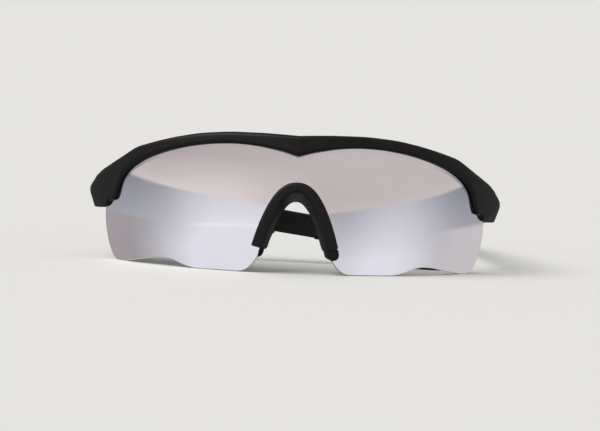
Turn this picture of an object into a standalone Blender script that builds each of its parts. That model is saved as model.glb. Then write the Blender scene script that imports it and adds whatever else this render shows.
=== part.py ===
"""Sport sunglasses with a one-piece mirror shield.

Metres, +Z up. The lens stands on its lower edge at z = 0 and faces -Y, and x = 0 is the plane of symmetry.
The origin is on the table, midway between the front and the tip of an open arm.
The right arm, at -X, is folded behind the lens, and the left arm, at +X, is open.
Run with: blender --background --python part.py
"""

import math

import bmesh
import bpy
import numpy as np

# Fits
FIT_GAP = 0.0003
CUT_OVERRUN = 0.0020

# Rounding of turned parts, and the angle above which an edge stays sharp
ROUND_SIDES = 20
SOFT_CREASE = math.radians(32)
FRAME_CREASE = math.radians(22)
CLIP_CREASE = math.radians(25)
PAD_CREASE = math.radians(40)

# Wrap of the front, seen from above: the lens arc, a tight turn, then straight back to the hinge
WRAP_RADIUS = 0.0800
WRAP_ANGLE = math.radians(58.5)
TURN_RADIUS = 0.0100
HINGE_RUN = 0.0031

# Lens
LENS_THICKNESS = 0.0020
LENS_HALF_ANGLE = math.radians(54.6)
LENS_CROWN_RADIUS = 0.1150
LENS_HEIGHT = 0.0440
LENS_TUCK = 0.0019
LENS_MIDDLE_SHARE = 0.545
LENS_ROWS = 6
# Columns over the nose, across the flare, along the front and round the outer end
LENS_COLUMNS = (13, 6, 17, 12)
LENS_OUTER_SHARE = 0.86
# Lower edge beyond the nose corner: share of the half angle, share of the lens height
LENS_LOWER_SHARES = (
    (0.0, 0.0),
    (0.4500, 0.0),
    (0.4900, 0.0090),
    (0.5350, 0.0300),
    (0.5750, 0.0530),
    (0.6200, 0.0610),
    (0.6700, 0.0550),
    (0.7200, 0.0410),
    (0.7850, 0.0220),
    (0.8500, 0.0050),
    (0.8800, 0.0),
    (0.9220, 0.0),
    (0.9450, 0.0120),
    (0.9640, 0.0400),
    (0.9780, 0.0880),
    (0.9880, 0.1400),
    (0.9960, 0.2200),
    (1.0, 0.2900),
)
# Upper outer corner, hidden in the end of the frame
LENS_CORNER_SHARES = (
    (0.6400, 0.9600),
    (0.7700, 0.8000),
    (0.8250, 0.7400),
    (0.8800, 0.6800),
    (0.9350, 0.6100),
    (0.9700, 0.5300),
    (0.9880, 0.4500),
    (0.9960, 0.3900),
    (1.0, 0.3350),
)

# Cut-out of the lens over the nose, and the flare at its lower corners
ARCH_TOP = 0.0282
ARCH_DEPTH = 0.0228
ARCH_HALF_WIDTH = 0.01235
ARCH_POWER = 2.3
FLARE_REACH = 0.0076
FLARE_POWER = 2.6

# Frame: tables run from the centre (0) to the hinge (1) along the wrap
BROW_RISE = 0.0017
FRAME_HEIGHT = LENS_HEIGHT + BROW_RISE
FRAME_TOP_SHARES = (
    (0.0, 0.989),
    (0.062, 0.995),
    (0.155, 1.0),
    (0.235, 1.0),
    (0.356, 0.984),
    (0.458, 0.952),
    (0.503, 0.933),
    (0.554, 0.910),
    (0.599, 0.887),
    (0.652, 0.858),
    (0.702, 0.811),
    (0.736, 0.777),
    (0.781, 0.736),
    (0.820, 0.702),
    (0.865, 0.667),
    (0.905, 0.637),
    (0.950, 0.616),
    (1.0, 0.605),
)
FRAME_EDGE_SHARES = (
    (0.0, 0.846),
    (0.020, 0.857),
    (0.056, 0.877),
    (0.096, 0.892),
    (0.144, 0.907),
    (0.186, 0.914),
    (0.237, 0.918),
    (0.309, 0.912),
    (0.402, 0.888),
    (0.490, 0.850),
    (0.586, 0.791),
    (0.614, 0.769),
    (0.640, 0.745),
    (0.664, 0.719),
    (0.682, 0.696),
    (0.702, 0.665),
    (0.720, 0.629),
    (0.734, 0.590),
    (0.749, 0.531),
    (0.756, 0.502),
    (0.768, 0.462),
    (0.772, 0.451),
    (0.784, 0.443),
    (0.797, 0.434),
    (0.805, 0.420),
    (0.813, 0.406),
    (0.825, 0.394),
    (0.845, 0.385),
    (0.870, 0.381),
    (0.910, 0.378),
    (1.0, 0.378),
)
# Stretches of the frame: from share, to share, number of sections
FRAME_STRETCHES = ((0.0, 0.70, 27), (0.70, 0.82, 19), (0.82, 1.0, 12))
FRAME_FACE = 0.0016
FRAME_BACK = 0.0056
# Full heights of the two bevels, as shares of the height of the frame's end
UPPER_BEVEL_SHARE = 0.427
LOWER_BEVEL_SHARE = 0.542
FRAME_BACK_SHARES = ((0.0, 0.625), (0.80, 0.625), (0.87, 0.78), (0.95, 1.0), (1.0, 1.0))
FRAME_REAR_EASE = 0.0006
CREST_RISE = 0.0014
CREST_REACH = 0.0180
UPPER_BEVEL_DEPTH = 0.0027
UPPER_BEVEL_DEPTH_SHARES = ((0.0, 0.24), (0.60, 0.24), (0.84, 0.33), (0.93, 0.78), (1.0, 1.0))
UPPER_BEVEL_HEIGHT_SHARES = ((0.0, 0.14), (0.60, 0.16), (0.84, 0.36), (0.93, 0.85), (1.0, 1.0))
LOWER_BEVEL_DEPTH = 0.0016
LOWER_BEVEL_DEPTH_SHARES = (
    (0.0, 0.50),
    (0.725, 0.50),
    (0.765, 0.06),
    (0.772, 0.06),
    (0.783, 0.50),
    (0.84, 0.50),
    (0.90, 0.85),
    (1.0, 1.0),
)
LOWER_BEVEL_HEIGHT_SHARES = (
    (0.0, 0.155),
    (0.50, 0.155),
    (0.60, 0.20),
    (0.70, 0.31),
    (0.77, 0.26),
    (0.81, 0.16),
    (0.86, 0.38),
    (0.93, 0.84),
    (1.0, 1.0),
)

# Hinge: two lugs on the frame, one knuckle on the arm, a screw from below into a brass insert
HINGE_INSET = 0.0050
LUG_RADIUS = 0.0024
LUG_EASE = 0.0004
KNUCKLE_HEIGHT = 0.0030
SCREW_RADIUS = 0.0006
SCREW_HEAD_RADIUS = 0.0013
SCREW_HEAD_HEIGHT = 0.0008
SCREW_SLOT_WIDTH = 0.0004
SCREW_SLOT_DEPTH = 0.0004
INSERT_RADIUS = 0.00135
INSERT_HEIGHT = 0.0014

# Arms: tables run from the hinge (0) to the tip (1)
ARM_LENGTH = 0.1180
ARM_INNER_OFFSET = 0.0008
ARM_BOW = 0.0085
ARM_BOW_POWER = 2.4
EAR_DIP = 0.0062
TIP_LEVEL = 0.0011
EAR_START_SHARE = 0.62
ARM_THICKNESS_SHARES = ((0.0, 1.0), (0.08, 0.86), (0.18, 0.72), (0.34, 0.64), (0.60, 0.59), (1.0, 0.56))
ARM_HEIGHT_SHARES = ((0.0, 1.0), (0.08, 0.95), (0.18, 0.88), (0.34, 0.81), (0.60, 0.76), (1.0, 0.74))
ARM_BEVEL_SHARES = ((0.0, 1.0), (0.10, 0.72), (0.25, 0.45), (0.60, 0.36), (1.0, 0.36))
ARM_EASE_SHARE = 0.12
ARM_STATIONS = 13
TANG_STATIONS = 7

# Ear grips, moulded over the ends of the arms
GRIP_START_SHARE = 0.625
GRIP_END_THICKNESS = 0.0044
GRIP_PROUD = 0.0004
GRIP_CORNER_POWER = 0.60
SOCKET_CORNER_POWER = 0.40
TANG_THICKNESS = 0.0018
TANG_HEIGHT = 0.0040
TANG_END_SHARE = 0.950
TANG_BEVEL_SHARE = 0.36
GRIP_SIDES = 12
GRIP_STATIONS = 15
SOCKET_STATIONS = 7
TIP_TAPER_SHARES = ((0.0, 1.0), (0.80, 1.0), (0.92, 0.88), (0.975, 0.66), (1.0, 0.42))

# Nose clip: a band in front of the lens, joined round the cut-out's edge to a saddle behind it
# Shares of height count down from the cut-out's top to its foot, and shares of width from the centre out
BAND_OUTER = 0.0028
BAND_OUTER_SHARES = ((0.0, 0.71), (0.40, 0.78), (1.0, 1.0))
BAND_INNER = 0.0013
BAND_FOOT_SHARE = 0.8667
BAND_EASE = 0.0006
CLIP_BACK = 0.0036
RIM_DROP = 0.0051
RIM_DEPTH_SHARE = 0.649
RIM_WIDTH_SHARE = 0.769
RIM_POWER = 2.2
SADDLE_LENGTH = 0.0112
SADDLE_LENGTH_SHARES = ((0.0, 1.0), (0.28, 0.97), (0.42, 0.62), (0.50, 0.44), (1.0, 0.42))
SADDLE_WALL = 0.0015
SADDLE_SAG_SHARE = 0.70
ARCH_STATIONS = 15
ARCH_SPACING_POWER = 0.7

# Nose pads, pushed on posts behind the clip
POST_LEVEL_SHARE = 0.569
POST_HEIGHT = 0.0022
POST_WIDTH = 0.0014
POST_LENGTH = 0.0034
SOCKET_WALL = 0.0010
PAD_TOP_SHARE = 0.449
PAD_FOOT_SHARE = 0.905
PAD_TOP_WIDTH_SHARE = 0.47
PAD_FOOT_WIDTH_SHARE = 0.826
PAD_DEPTH = 0.0080
PAD_THICKNESS = 0.0014
PAD_SPLAY = 0.0022
PAD_SPLAY_SHARES = ((0.0, 0.25), (0.45, 0.45), (1.0, 1.0))
PAD_DEPTH_SHARES = ((0.0, 0.45), (0.12, 0.80), (0.35, 1.0), (0.80, 1.0), (0.93, 0.85), (1.0, 0.60))
PAD_STATIONS = 9
PAD_ROUND_STEPS = 3
TOE_LENGTH = 0.0034
TOE_SHARES = ((0.0, 1.0), (0.40, 1.0), (0.75, 0.86), (0.92, 0.62), (1.0, 0.36))
TOE_OUTSIDE_WIDTH = 0.0026
TOE_INSIDE_WIDTH = 0.0012
TOE_TUCKED_WIDTH = 0.0009


def clear_scene():
    for item in list(bpy.data.objects):
        bpy.data.objects.remove(item, do_unlink=True)


def follow(shares, at):
    """Smooth curve through a table of (place, value) that never overshoots its points."""
    places = np.array([place for place, _ in shares])
    values = np.array([value for _, value in shares])
    steps = np.diff(places)
    slopes = np.diff(values) / steps
    before, after = slopes[:-1], slopes[1:]
    both = np.where(before * after > 0, before + after, 1.0)
    middle = np.where(before * after > 0, 2 * before * after / both, 0.0)
    tangents = np.concatenate([[slopes[0]], middle, [slopes[-1]]])
    at = min(max(at, places[0]), places[-1])
    k = min(max(int(np.searchsorted(places, at, side="right")) - 1, 0), len(steps) - 1)
    t = (at - places[k]) / steps[k]
    start = (1 + 2 * t) * (1 - t) ** 2 * values[k] + t * (1 - t) ** 2 * steps[k] * tangents[k]
    end = t * t * (3 - 2 * t) * values[k + 1] + t * t * (t - 1) * steps[k] * tangents[k + 1]
    return float(start + end)


def plastic(name, colour, roughness, metallic=0.0):
    """A Principled material in one colour."""
    made = bpy.data.materials.get(name)
    if made:
        return made
    made = bpy.data.materials.new(name)
    made.use_nodes = True
    shader = made.node_tree.nodes["Principled BSDF"]
    shader.inputs["Base Color"].default_value = (*colour, 1.0)
    shader.inputs["Roughness"].default_value = roughness
    shader.inputs["Metallic"].default_value = metallic
    return made


def frame_plastic():
    return plastic("matte_black_plastic", (0.020, 0.016, 0.015), 0.45)


def mirror_coating():
    return plastic("silver_mirror", (0.62, 0.60, 0.64), 0.06, 1.0)


def black_rubber():
    return plastic("black_rubber", (0.014, 0.013, 0.014), 0.70)


def screw_steel():
    return plastic("screw_steel", (0.30, 0.30, 0.31), 0.30, 1.0)


def insert_brass():
    return plastic("insert_brass", (0.52, 0.36, 0.15), 0.30, 1.0)


def solid(name, points, faces, finish=None):
    """A closed body from points and faces, with its faces turned outwards."""
    mesh = bpy.data.meshes.new(name)
    body = bmesh.new()
    corners = [body.verts.new(point) for point in points]
    for face in faces:
        body.faces.new([corners[k] for k in face])
    bmesh.ops.recalc_face_normals(body, faces=body.faces)
    body.to_mesh(mesh)
    body.free()
    made = bpy.data.objects.new(name, mesh)
    bpy.context.scene.collection.objects.link(made)
    if finish:
        mesh.materials.append(finish)
    return made


def loft(name, rings, finish=None, ring_shaped=False):
    """Skin over rings of equally many points, capped at both ends or joined end to end."""
    count = len(rings[0])
    points = [point for ring in rings for point in ring]
    faces = []
    spans = len(rings) if ring_shaped else len(rings) - 1
    for k in range(spans):
        here, there = k * count, (k + 1) % len(rings) * count
        for j in range(count):
            beside = (j + 1) % count
            faces.append((here + j, here + beside, there + beside, there + j))
    if not ring_shaped:
        faces.append(tuple(range(count)))
        faces.append(tuple(range(len(points) - count, len(points))))
    return solid(name, points, faces, finish)


def circle(x, y, z, radius):
    turns = [2 * math.pi * k / ROUND_SIDES for k in range(ROUND_SIDES)]
    return [(x + radius * math.cos(turn), y + radius * math.sin(turn), z) for turn in turns]


def turned(name, x, y, profile, finish=None):
    """A solid of round steps: profile lists (radius, height) from the bottom up."""
    return loft(name, [circle(x, y, z, radius) for radius, z in profile], finish)


def cut(target, tool, operation="DIFFERENCE"):
    """Combines a body with a tool, which stays in the scene as a wire guide."""
    step = target.modifiers.new(tool.name, "BOOLEAN")
    step.operation = operation
    step.solver = "EXACT"
    step.object = tool
    tool.hide_render = True
    tool.display_type = "WIRE"


def smooth(made, angle=SOFT_CREASE):
    made.data.shade_smooth()
    made.data.set_sharp_from_angle(angle=angle)


# Wrap


def wrap_run():
    """Length of the wrap from the centre to the hinge."""
    turn = TURN_RADIUS * (math.pi / 2 - WRAP_ANGLE)
    return WRAP_RADIUS * WRAP_ANGLE + turn + HINGE_RUN


def crown(z):
    """How far the vertical curve sets the lens back at a height."""
    away = z - LENS_HEIGHT * LENS_MIDDLE_SHARE
    return LENS_CROWN_RADIUS - math.sqrt(LENS_CROWN_RADIUS**2 - away**2)


def frame_edge(run):
    """Height of the frame's lower edge, which borders the lens."""
    return FRAME_HEIGHT * follow(FRAME_EDGE_SHARES, abs(run) / wrap_run())


def end_height():
    """Height of the frame where it meets an arm."""
    return FRAME_HEIGHT * (FRAME_TOP_SHARES[-1][1] - FRAME_EDGE_SHARES[-1][1])


def lens_front():
    """Place of the lens's foremost line, with the origin midway along the open glasses."""
    depth = WRAP_RADIUS * (1 - math.cos(WRAP_ANGLE)) + TURN_RADIUS * math.cos(WRAP_ANGLE) + HINGE_RUN
    ridge = frame_edge(0) + end_height() * LOWER_BEVEL_SHARE * LOWER_BEVEL_HEIGHT_SHARES[0][1]
    proud = FRAME_FACE + CREST_RISE - crown(ridge)
    return -(depth + ARM_LENGTH - proud) / 2


def wrap_place(run):
    """Plan position and outward direction on the wrap, at a signed distance from the centre."""
    side = -1.0 if run < 0 else 1.0
    left = abs(run)
    on_arc = min(left, WRAP_RADIUS * WRAP_ANGLE)
    angle = on_arc / WRAP_RADIUS
    x = WRAP_RADIUS * math.sin(angle)
    y = lens_front() + WRAP_RADIUS * (1 - math.cos(angle))
    left -= on_arc
    on_turn = min(left, TURN_RADIUS * (math.pi / 2 - WRAP_ANGLE))
    after = angle + on_turn / TURN_RADIUS
    x += TURN_RADIUS * (math.sin(after) - math.sin(angle))
    y += TURN_RADIUS * (math.cos(angle) - math.cos(after))
    left -= on_turn
    x += left * math.cos(after)
    y += left * math.sin(after)
    return side * x, y, side * math.sin(after), -math.cos(after)


def wrap_point(run, z, out):
    """A point by its distance along the wrap, its height and its distance out from the lens face."""
    x, y, out_x, out_y = wrap_place(run)
    reach = out - crown(z)
    return x + out_x * reach, y + out_y * reach, z


def hinge_place():
    """Plan position of the +X hinge axis, and the lowest and highest level of the frame's end."""
    x, y, _, _ = wrap_place(wrap_run())
    low = FRAME_HEIGHT * FRAME_EDGE_SHARES[-1][1]
    high = FRAME_HEIGHT * FRAME_TOP_SHARES[-1][1]
    return x + FRAME_FACE - HINGE_INSET, y, low, high


def mirrored_runs(stretches):
    """Places along both halves of the wrap, from stretches that each have their own spacing."""
    half = [0.0]
    for start, stop, count in stretches:
        half.extend(np.linspace(start, stop, count)[1:])
    return [-run for run in half[:0:-1]] + half


# Lens


def lens_end():
    return WRAP_RADIUS * LENS_HALF_ANGLE


def lens_upper(run, clearance):
    """Upper edge of the lens: tucked in the frame, then round the hidden corner."""
    share = min(abs(run) / (lens_end() + clearance), 1.0)
    corner = LENS_HEIGHT * follow(LENS_CORNER_SHARES, share)
    tucked = frame_edge(share * lens_end()) + LENS_TUCK
    return min(corner, tucked) + clearance


def lens_lower(run, clearance):
    """Lower edge of the lens: the arch over the nose, its flare, then the waved edge."""
    width = ARCH_HALF_WIDTH - clearance
    if abs(run) <= width:
        return ARCH_TOP - clearance - ARCH_DEPTH * (abs(run) / width) ** ARCH_POWER
    share = min(abs(run) / (lens_end() + clearance), 1.0)
    away = max(1 - (abs(run) - width) / FLARE_REACH, 0.0)
    flare = (ARCH_TOP - ARCH_DEPTH) * away**FLARE_POWER
    return flare + LENS_HEIGHT * follow(LENS_LOWER_SHARES, share) - clearance


def lens_runs(clearance):
    """Column places from one side of the lens to the other, closest where its edge turns."""
    end = lens_end() + clearance
    stops = (0, ARCH_HALF_WIDTH - clearance, ARCH_HALF_WIDTH + FLARE_REACH, end * LENS_OUTER_SHARE, end)
    return mirrored_runs(zip(stops, stops[1:], LENS_COLUMNS))


def lens_shell(name, clearance=0, slot=False, finish=None):
    """The lens, or the lens with a clearance all round, which is the space that it needs."""
    columns = []
    for run in lens_runs(clearance):
        high = lens_upper(run, clearance)
        low = lens_lower(run, clearance)
        if slot:
            low = min(frame_edge(run) - CUT_OVERRUN, high - LENS_TUCK)
        levels = [low + (high - low) * row / LENS_ROWS for row in range(LENS_ROWS + 1)]
        front = [wrap_point(run, z, clearance) for z in levels]
        back = [wrap_point(run, z, -LENS_THICKNESS - clearance) for z in reversed(levels)]
        columns.append(front + back)
    made = loft(name, columns, finish)
    smooth(made)
    return made


def shield_lens():
    return lens_shell("shield_lens", finish=mirror_coating())


# Frame


def frame_ring(run):
    """One section of the frame, from the lens-side lip up the face, over the top and down the back."""
    share = abs(run) / wrap_run()
    top = FRAME_HEIGHT * follow(FRAME_TOP_SHARES, share)
    low = frame_edge(run)
    face = FRAME_FACE + CREST_RISE * max(1 - abs(run) / CREST_REACH, 0.0)
    back = -FRAME_BACK * follow(FRAME_BACK_SHARES, share)
    upper_in = UPPER_BEVEL_DEPTH * follow(UPPER_BEVEL_DEPTH_SHARES, share)
    upper_down = end_height() * UPPER_BEVEL_SHARE * follow(UPPER_BEVEL_HEIGHT_SHARES, share)
    lower_in = LOWER_BEVEL_DEPTH * follow(LOWER_BEVEL_DEPTH_SHARES, share)
    lower_up = end_height() * LOWER_BEVEL_SHARE * follow(LOWER_BEVEL_HEIGHT_SHARES, share)
    ease = FRAME_REAR_EASE
    profile = [
        (face - lower_in, low),
        (face, low + lower_up),
        (face, top - upper_down),
        (face - upper_in, top),
        (back + ease, top),
        (back, top - ease),
        (back, low + ease),
        (back + ease, low),
    ]
    return [wrap_point(run, z, out) for out, z in profile]


def frame_runs():
    """Station places along the frame, closest where the foot and the end turn."""
    end = wrap_run()
    return mirrored_runs((end * start, end * stop, count) for start, stop, count in FRAME_STRETCHES)


def hinge_levels():
    """Heights of the lugs' ends and of the knuckle between them."""
    _, _, low, high = hinge_place()
    middle = (low + high) / 2
    return {
        "lug_low": low + LUG_EASE,
        "lug_high": high - LUG_EASE,
        "knuckle_low": middle - KNUCKLE_HEIGHT / 2,
        "knuckle_high": middle + KNUCKLE_HEIGHT / 2,
        "middle": middle,
    }


def front_frame():
    """The browline with its lens groove and the two lugs of each hinge."""
    rings = [frame_ring(run) for run in frame_runs()]
    frame = loft("front_frame", rings, frame_plastic())
    smooth(frame, FRAME_CREASE)
    cut(frame, lens_shell("lens_groove", FIT_GAP, slot=True))
    levels = hinge_levels()
    x_open, y, low, high = hinge_place()
    for side, label in ((1, "left"), (-1, "right")):
        x = side * x_open
        lug = [(LUG_RADIUS, levels["lug_low"]), (LUG_RADIUS, levels["lug_high"])]
        cut(frame, turned("lugs_" + label, x, y, lug), "UNION")
        room = LUG_RADIUS + FIT_GAP
        slot = [(room, levels["knuckle_low"] - FIT_GAP), (room, levels["knuckle_high"] + FIT_GAP)]
        cut(frame, turned("knuckle_room_" + label, x, y, slot))
        head_room = SCREW_HEAD_RADIUS + FIT_GAP
        shaft_room = SCREW_RADIUS + FIT_GAP
        insert_room = INSERT_RADIUS + FIT_GAP
        seat = levels["lug_low"] + SCREW_HEAD_HEIGHT + 2 * FIT_GAP
        pocket = levels["lug_high"] - INSERT_HEIGHT - 2 * FIT_GAP
        bore = [
            (head_room, low - CUT_OVERRUN),
            (head_room, seat),
            (shaft_room, seat),
            (shaft_room, pocket),
            (insert_room, pocket),
            (insert_room, high + CUT_OVERRUN),
        ]
        cut(frame, turned("screw_bore_" + label, x, y, bore))
    return frame


def hinge_screw(label, side):
    """A slotted machine screw, head down in its counterbore."""
    levels = hinge_levels()
    x, y, _, _ = hinge_place()
    head = levels["lug_low"] + FIT_GAP
    profile = [
        (SCREW_HEAD_RADIUS, head),
        (SCREW_HEAD_RADIUS, head + SCREW_HEAD_HEIGHT),
        (SCREW_RADIUS, head + SCREW_HEAD_HEIGHT),
        (SCREW_RADIUS, levels["lug_high"] - 2 * FIT_GAP),
    ]
    screw = turned("hinge_screw_" + label, 0, 0, profile, screw_steel())
    smooth(screw)
    reach = SCREW_HEAD_RADIUS + CUT_OVERRUN
    half = SCREW_SLOT_WIDTH / 2
    corners = [(-reach, -half), (reach, -half), (reach, half), (-reach, half)]
    slot = loft(
        "driver_slot_" + label,
        [[(a, b, z) for a, b in corners] for z in (head - CUT_OVERRUN, head + SCREW_SLOT_DEPTH)],
    )
    cut(screw, slot)
    for made in (screw, slot):
        made.location = (side * x, y, 0)
    return screw


def hinge_insert(label, side):
    """A threaded brass sleeve in the upper lug."""
    levels = hinge_levels()
    x, y, _, _ = hinge_place()
    high = levels["lug_high"] - FIT_GAP
    inner, outer = SCREW_RADIUS + FIT_GAP, INSERT_RADIUS
    profile = [(outer, high - INSERT_HEIGHT), (outer, high), (inner, high), (inner, high - INSERT_HEIGHT)]
    rings = [circle(0, 0, z, radius) for radius, z in profile]
    insert = loft("hinge_insert_" + label, rings, insert_brass(), ring_shaped=True)
    smooth(insert)
    insert.location = (side * x, y, 0)
    return insert


# Arms, drawn open with the hinge axis at x = y = 0 and the outside at +X


def arm_line(share):
    """Inner face and centre height of the arm, which slopes down so that its tip rests on the table."""
    middle = hinge_levels()["middle"]
    dip = EAR_DIP * (max(share - EAR_START_SHARE, 0.0) / (1 - EAR_START_SHARE)) ** 2
    inner = -ARM_INNER_OFFSET - ARM_BOW * share**ARM_BOW_POWER
    return inner, middle - (middle - EAR_DIP - TIP_LEVEL) * share - dip


def arm_ring(run, inner, middle, thickness, height, bevel):
    """An eight-sided section: bevels above and below the outer face, eased edges on the inside."""
    full = HINGE_INSET + ARM_INNER_OFFSET
    upper_in = thickness * bevel * UPPER_BEVEL_DEPTH / full
    lower_in = thickness * bevel * LOWER_BEVEL_DEPTH / full
    upper_down = height * bevel * UPPER_BEVEL_SHARE
    lower_up = height * bevel * LOWER_BEVEL_SHARE
    outer = inner + thickness
    top, bottom = middle + height / 2, middle - height / 2
    ease = thickness * ARM_EASE_SHARE
    profile = [
        (outer - lower_in, bottom),
        (outer, bottom + lower_up),
        (outer, top - upper_down),
        (outer - upper_in, top),
        (inner + ease, top),
        (inner, top - ease),
        (inner, bottom + ease),
        (inner + ease, bottom),
    ]
    return [(x, run, z) for x, z in profile]


def arm_sizes(share):
    thickness = (HINGE_INSET + ARM_INNER_OFFSET) * follow(ARM_THICKNESS_SHARES, share)
    return thickness, end_height() * follow(ARM_HEIGHT_SHARES, share)


def temple_arm(label, side, pivot):
    """An arm with its knuckle, its visible length and the tang inside the ear grip."""
    rings = []
    shoulder = GRIP_START_SHARE - FIT_GAP / ARM_LENGTH
    for share in np.linspace(0, shoulder, ARM_STATIONS):
        inner, middle = arm_line(share)
        thickness, height = arm_sizes(share)
        run = max(share * ARM_LENGTH, FIT_GAP)
        rings.append(arm_ring(run, inner, middle, thickness, height, follow(ARM_BEVEL_SHARES, share)))
    for share in np.linspace(shoulder, TANG_END_SHARE, TANG_STATIONS):
        inner, middle = arm_line(share)
        thickness, _ = arm_sizes(share)
        inner += (thickness - TANG_THICKNESS) / 2
        run = share * ARM_LENGTH
        rings.append(arm_ring(run, inner, middle, TANG_THICKNESS, TANG_HEIGHT, TANG_BEVEL_SHARE))
    rings = [[(side * x, y, z) for x, y, z in ring] for ring in rings]
    arm = loft("temple_arm_" + label, rings, frame_plastic())
    smooth(arm, FRAME_CREASE)
    levels = hinge_levels()
    _, _, low, high = hinge_place()
    room = LUG_RADIUS + FIT_GAP
    bore = SCREW_RADIUS + FIT_GAP
    steps = (
        ("lug_room_low_", room, low - CUT_OVERRUN, levels["knuckle_low"], "DIFFERENCE"),
        ("lug_room_high_", room, levels["knuckle_high"], high + CUT_OVERRUN, "DIFFERENCE"),
        ("knuckle_", LUG_RADIUS, levels["knuckle_low"], levels["knuckle_high"], "UNION"),
        ("knuckle_bore_", bore, low - CUT_OVERRUN, high + CUT_OVERRUN, "DIFFERENCE"),
    )
    arm.parent = pivot
    for name, radius, bottom, top, operation in steps:
        tool = turned(name + label, 0, 0, [(radius, bottom), (radius, top)])
        tool.parent = pivot
        cut(arm, tool, operation)
    return arm


def grip_ring(run, x, z, half_x, half_z, power, ground):
    """A rounded section that stays above the ground."""
    ring = []
    for k in range(GRIP_SIDES):
        turn = 2 * math.pi * (k + 0.5) / GRIP_SIDES
        across, up = math.cos(turn), math.sin(turn)
        px = x + half_x * math.copysign(abs(across) ** power, across)
        pz = z + half_z * math.copysign(abs(up) ** power, up)
        ring.append((px, run, max(pz, ground)))
    return ring


def ear_grip(label, side, pivot):
    """A rubber sleeve over the tang, with a flat under its tip that rests on the table."""
    outside, inside = [], []
    for share in np.linspace(GRIP_START_SHARE, 1.0, GRIP_STATIONS):
        inner, middle = arm_line(share)
        thickness, height = arm_sizes(share)
        along = (share - GRIP_START_SHARE) / (1 - GRIP_START_SHARE)
        end = follow(TIP_TAPER_SHARES, along)
        wide = thickness + (GRIP_END_THICKNESS - thickness) * along
        half_x = (wide / 2 + GRIP_PROUD) * end
        half_z = (height / 2 + GRIP_PROUD) * end
        x = inner + thickness / 2
        outside.append(grip_ring(share * ARM_LENGTH, x, middle, half_x, half_z, GRIP_CORNER_POWER, 0))
    end_share = TANG_END_SHARE + FIT_GAP / ARM_LENGTH
    for share in np.linspace(GRIP_START_SHARE, end_share, SOCKET_STATIONS):
        inner, middle = arm_line(share)
        thickness, _ = arm_sizes(share)
        half_x = TANG_THICKNESS / 2 + FIT_GAP
        half_z = TANG_HEIGHT / 2 + FIT_GAP
        x = inner + thickness / 2
        inside.append(grip_ring(share * ARM_LENGTH, x, middle, half_x, half_z, SOCKET_CORNER_POWER, 0))
    rings = inside[::-1] + outside
    rings = [[(side * x, y, z) for x, y, z in ring] for ring in rings]
    grip = loft("ear_grip_" + label, rings, black_rubber())
    smooth(grip)
    grip.parent = pivot
    return grip


# Nose clip and pads


def arch_place(share, top, depth, half_width, power):
    """Run and height on an arch, and its direction away from the nose, at -1 to 1 from foot to foot."""
    side = -1.0 if share < 0 else 1.0
    run = half_width * abs(share) ** ARCH_SPACING_POWER
    z = top - depth * (run / half_width) ** power
    slope = power * depth / half_width * (run / half_width) ** (power - 1)
    size = math.hypot(slope, 1.0)
    return side * run, z, side * slope / size, 1.0 / size


def arch_run(share):
    """Distance of the cut-out's edge from the centre at a share of its depth."""
    return ARCH_HALF_WIDTH * share ** (1 / ARCH_POWER)


def band_place(share):
    """The band's line, which is the edge of the cut-out down to the band's foot."""
    return arch_place(share, ARCH_TOP, ARCH_DEPTH * BAND_FOOT_SHARE, arch_run(BAND_FOOT_SHARE), ARCH_POWER)


def rim_place(share):
    """The line of the saddle's rear rim."""
    depth, width = ARCH_DEPTH * RIM_DEPTH_SHARE, ARCH_HALF_WIDTH * RIM_WIDTH_SHARE
    return arch_place(share, ARCH_TOP - RIM_DROP, depth, width, RIM_POWER)


def saddle_length(share):
    return SADDLE_LENGTH * follow(SADDLE_LENGTH_SHARES, abs(share))


def clip_ring(share):
    run, z, out_run, out_z = band_place(share)
    rim_run, rim_z, rim_out_run, rim_out_z = rim_place(share)
    outer = BAND_OUTER * follow(BAND_OUTER_SHARES, abs(share))
    length = saddle_length(share)

    def band(offset, out):
        return run + offset * out_run, z + offset * out_z, out

    inner_front = band(-BAND_INNER, FRAME_FACE - BAND_EASE)
    rim = (rim_run, rim_z, -length)
    ceiling = [a + (b - a) * SADDLE_SAG_SHARE for a, b in zip(inner_front[:2], rim[:2])]
    places = [
        inner_front,
        band(-BAND_INNER + BAND_EASE, FRAME_FACE),
        band(outer - BAND_EASE, FRAME_FACE),
        band(outer, FRAME_FACE - BAND_EASE),
        band(outer, -CLIP_BACK),
        band(0, -CLIP_BACK),
        (rim_run + SADDLE_WALL * rim_out_run, rim_z + SADDLE_WALL * rim_out_z, -length),
        rim,
        (*ceiling, (inner_front[2] - length) / 2),
    ]
    return [wrap_point(*place) for place in places]


def post_box(name, label, side, wall, length):
    """A square peg, or with a wall the block round its socket, behind one leg of the clip."""
    run = side * arch_run(POST_LEVEL_SHARE)
    level = ARCH_TOP - ARCH_DEPTH * POST_LEVEL_SHARE
    half_run, half_z = POST_WIDTH / 2 + wall, POST_HEIGHT / 2 + wall
    corners = [(-half_run, -half_z), (half_run, -half_z), (half_run, half_z), (-half_run, half_z)]
    rings = []
    for out in length:
        rings.append([wrap_point(run + a, level + b, out) for a, b in corners])
    return loft(name + label, rings)


def leg_back():
    return -saddle_length(1.0)


def nose_clip(lens_space):
    """The rigid clip that grips the lens round the cut-out and carries the pads on two posts."""
    shares = [k / ARCH_STATIONS for k in range(-ARCH_STATIONS, ARCH_STATIONS + 1)]
    clip = loft("nose_clip", [clip_ring(share) for share in shares], frame_plastic())
    smooth(clip, CLIP_CREASE)
    for side, label in ((1, "left"), (-1, "right")):
        ends = (SADDLE_WALL / 2 - CLIP_BACK, leg_back() - POST_LENGTH)
        cut(clip, post_box("post_", label, side, 0, ends), "UNION")
    cut(clip, lens_space)
    return clip


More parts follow.
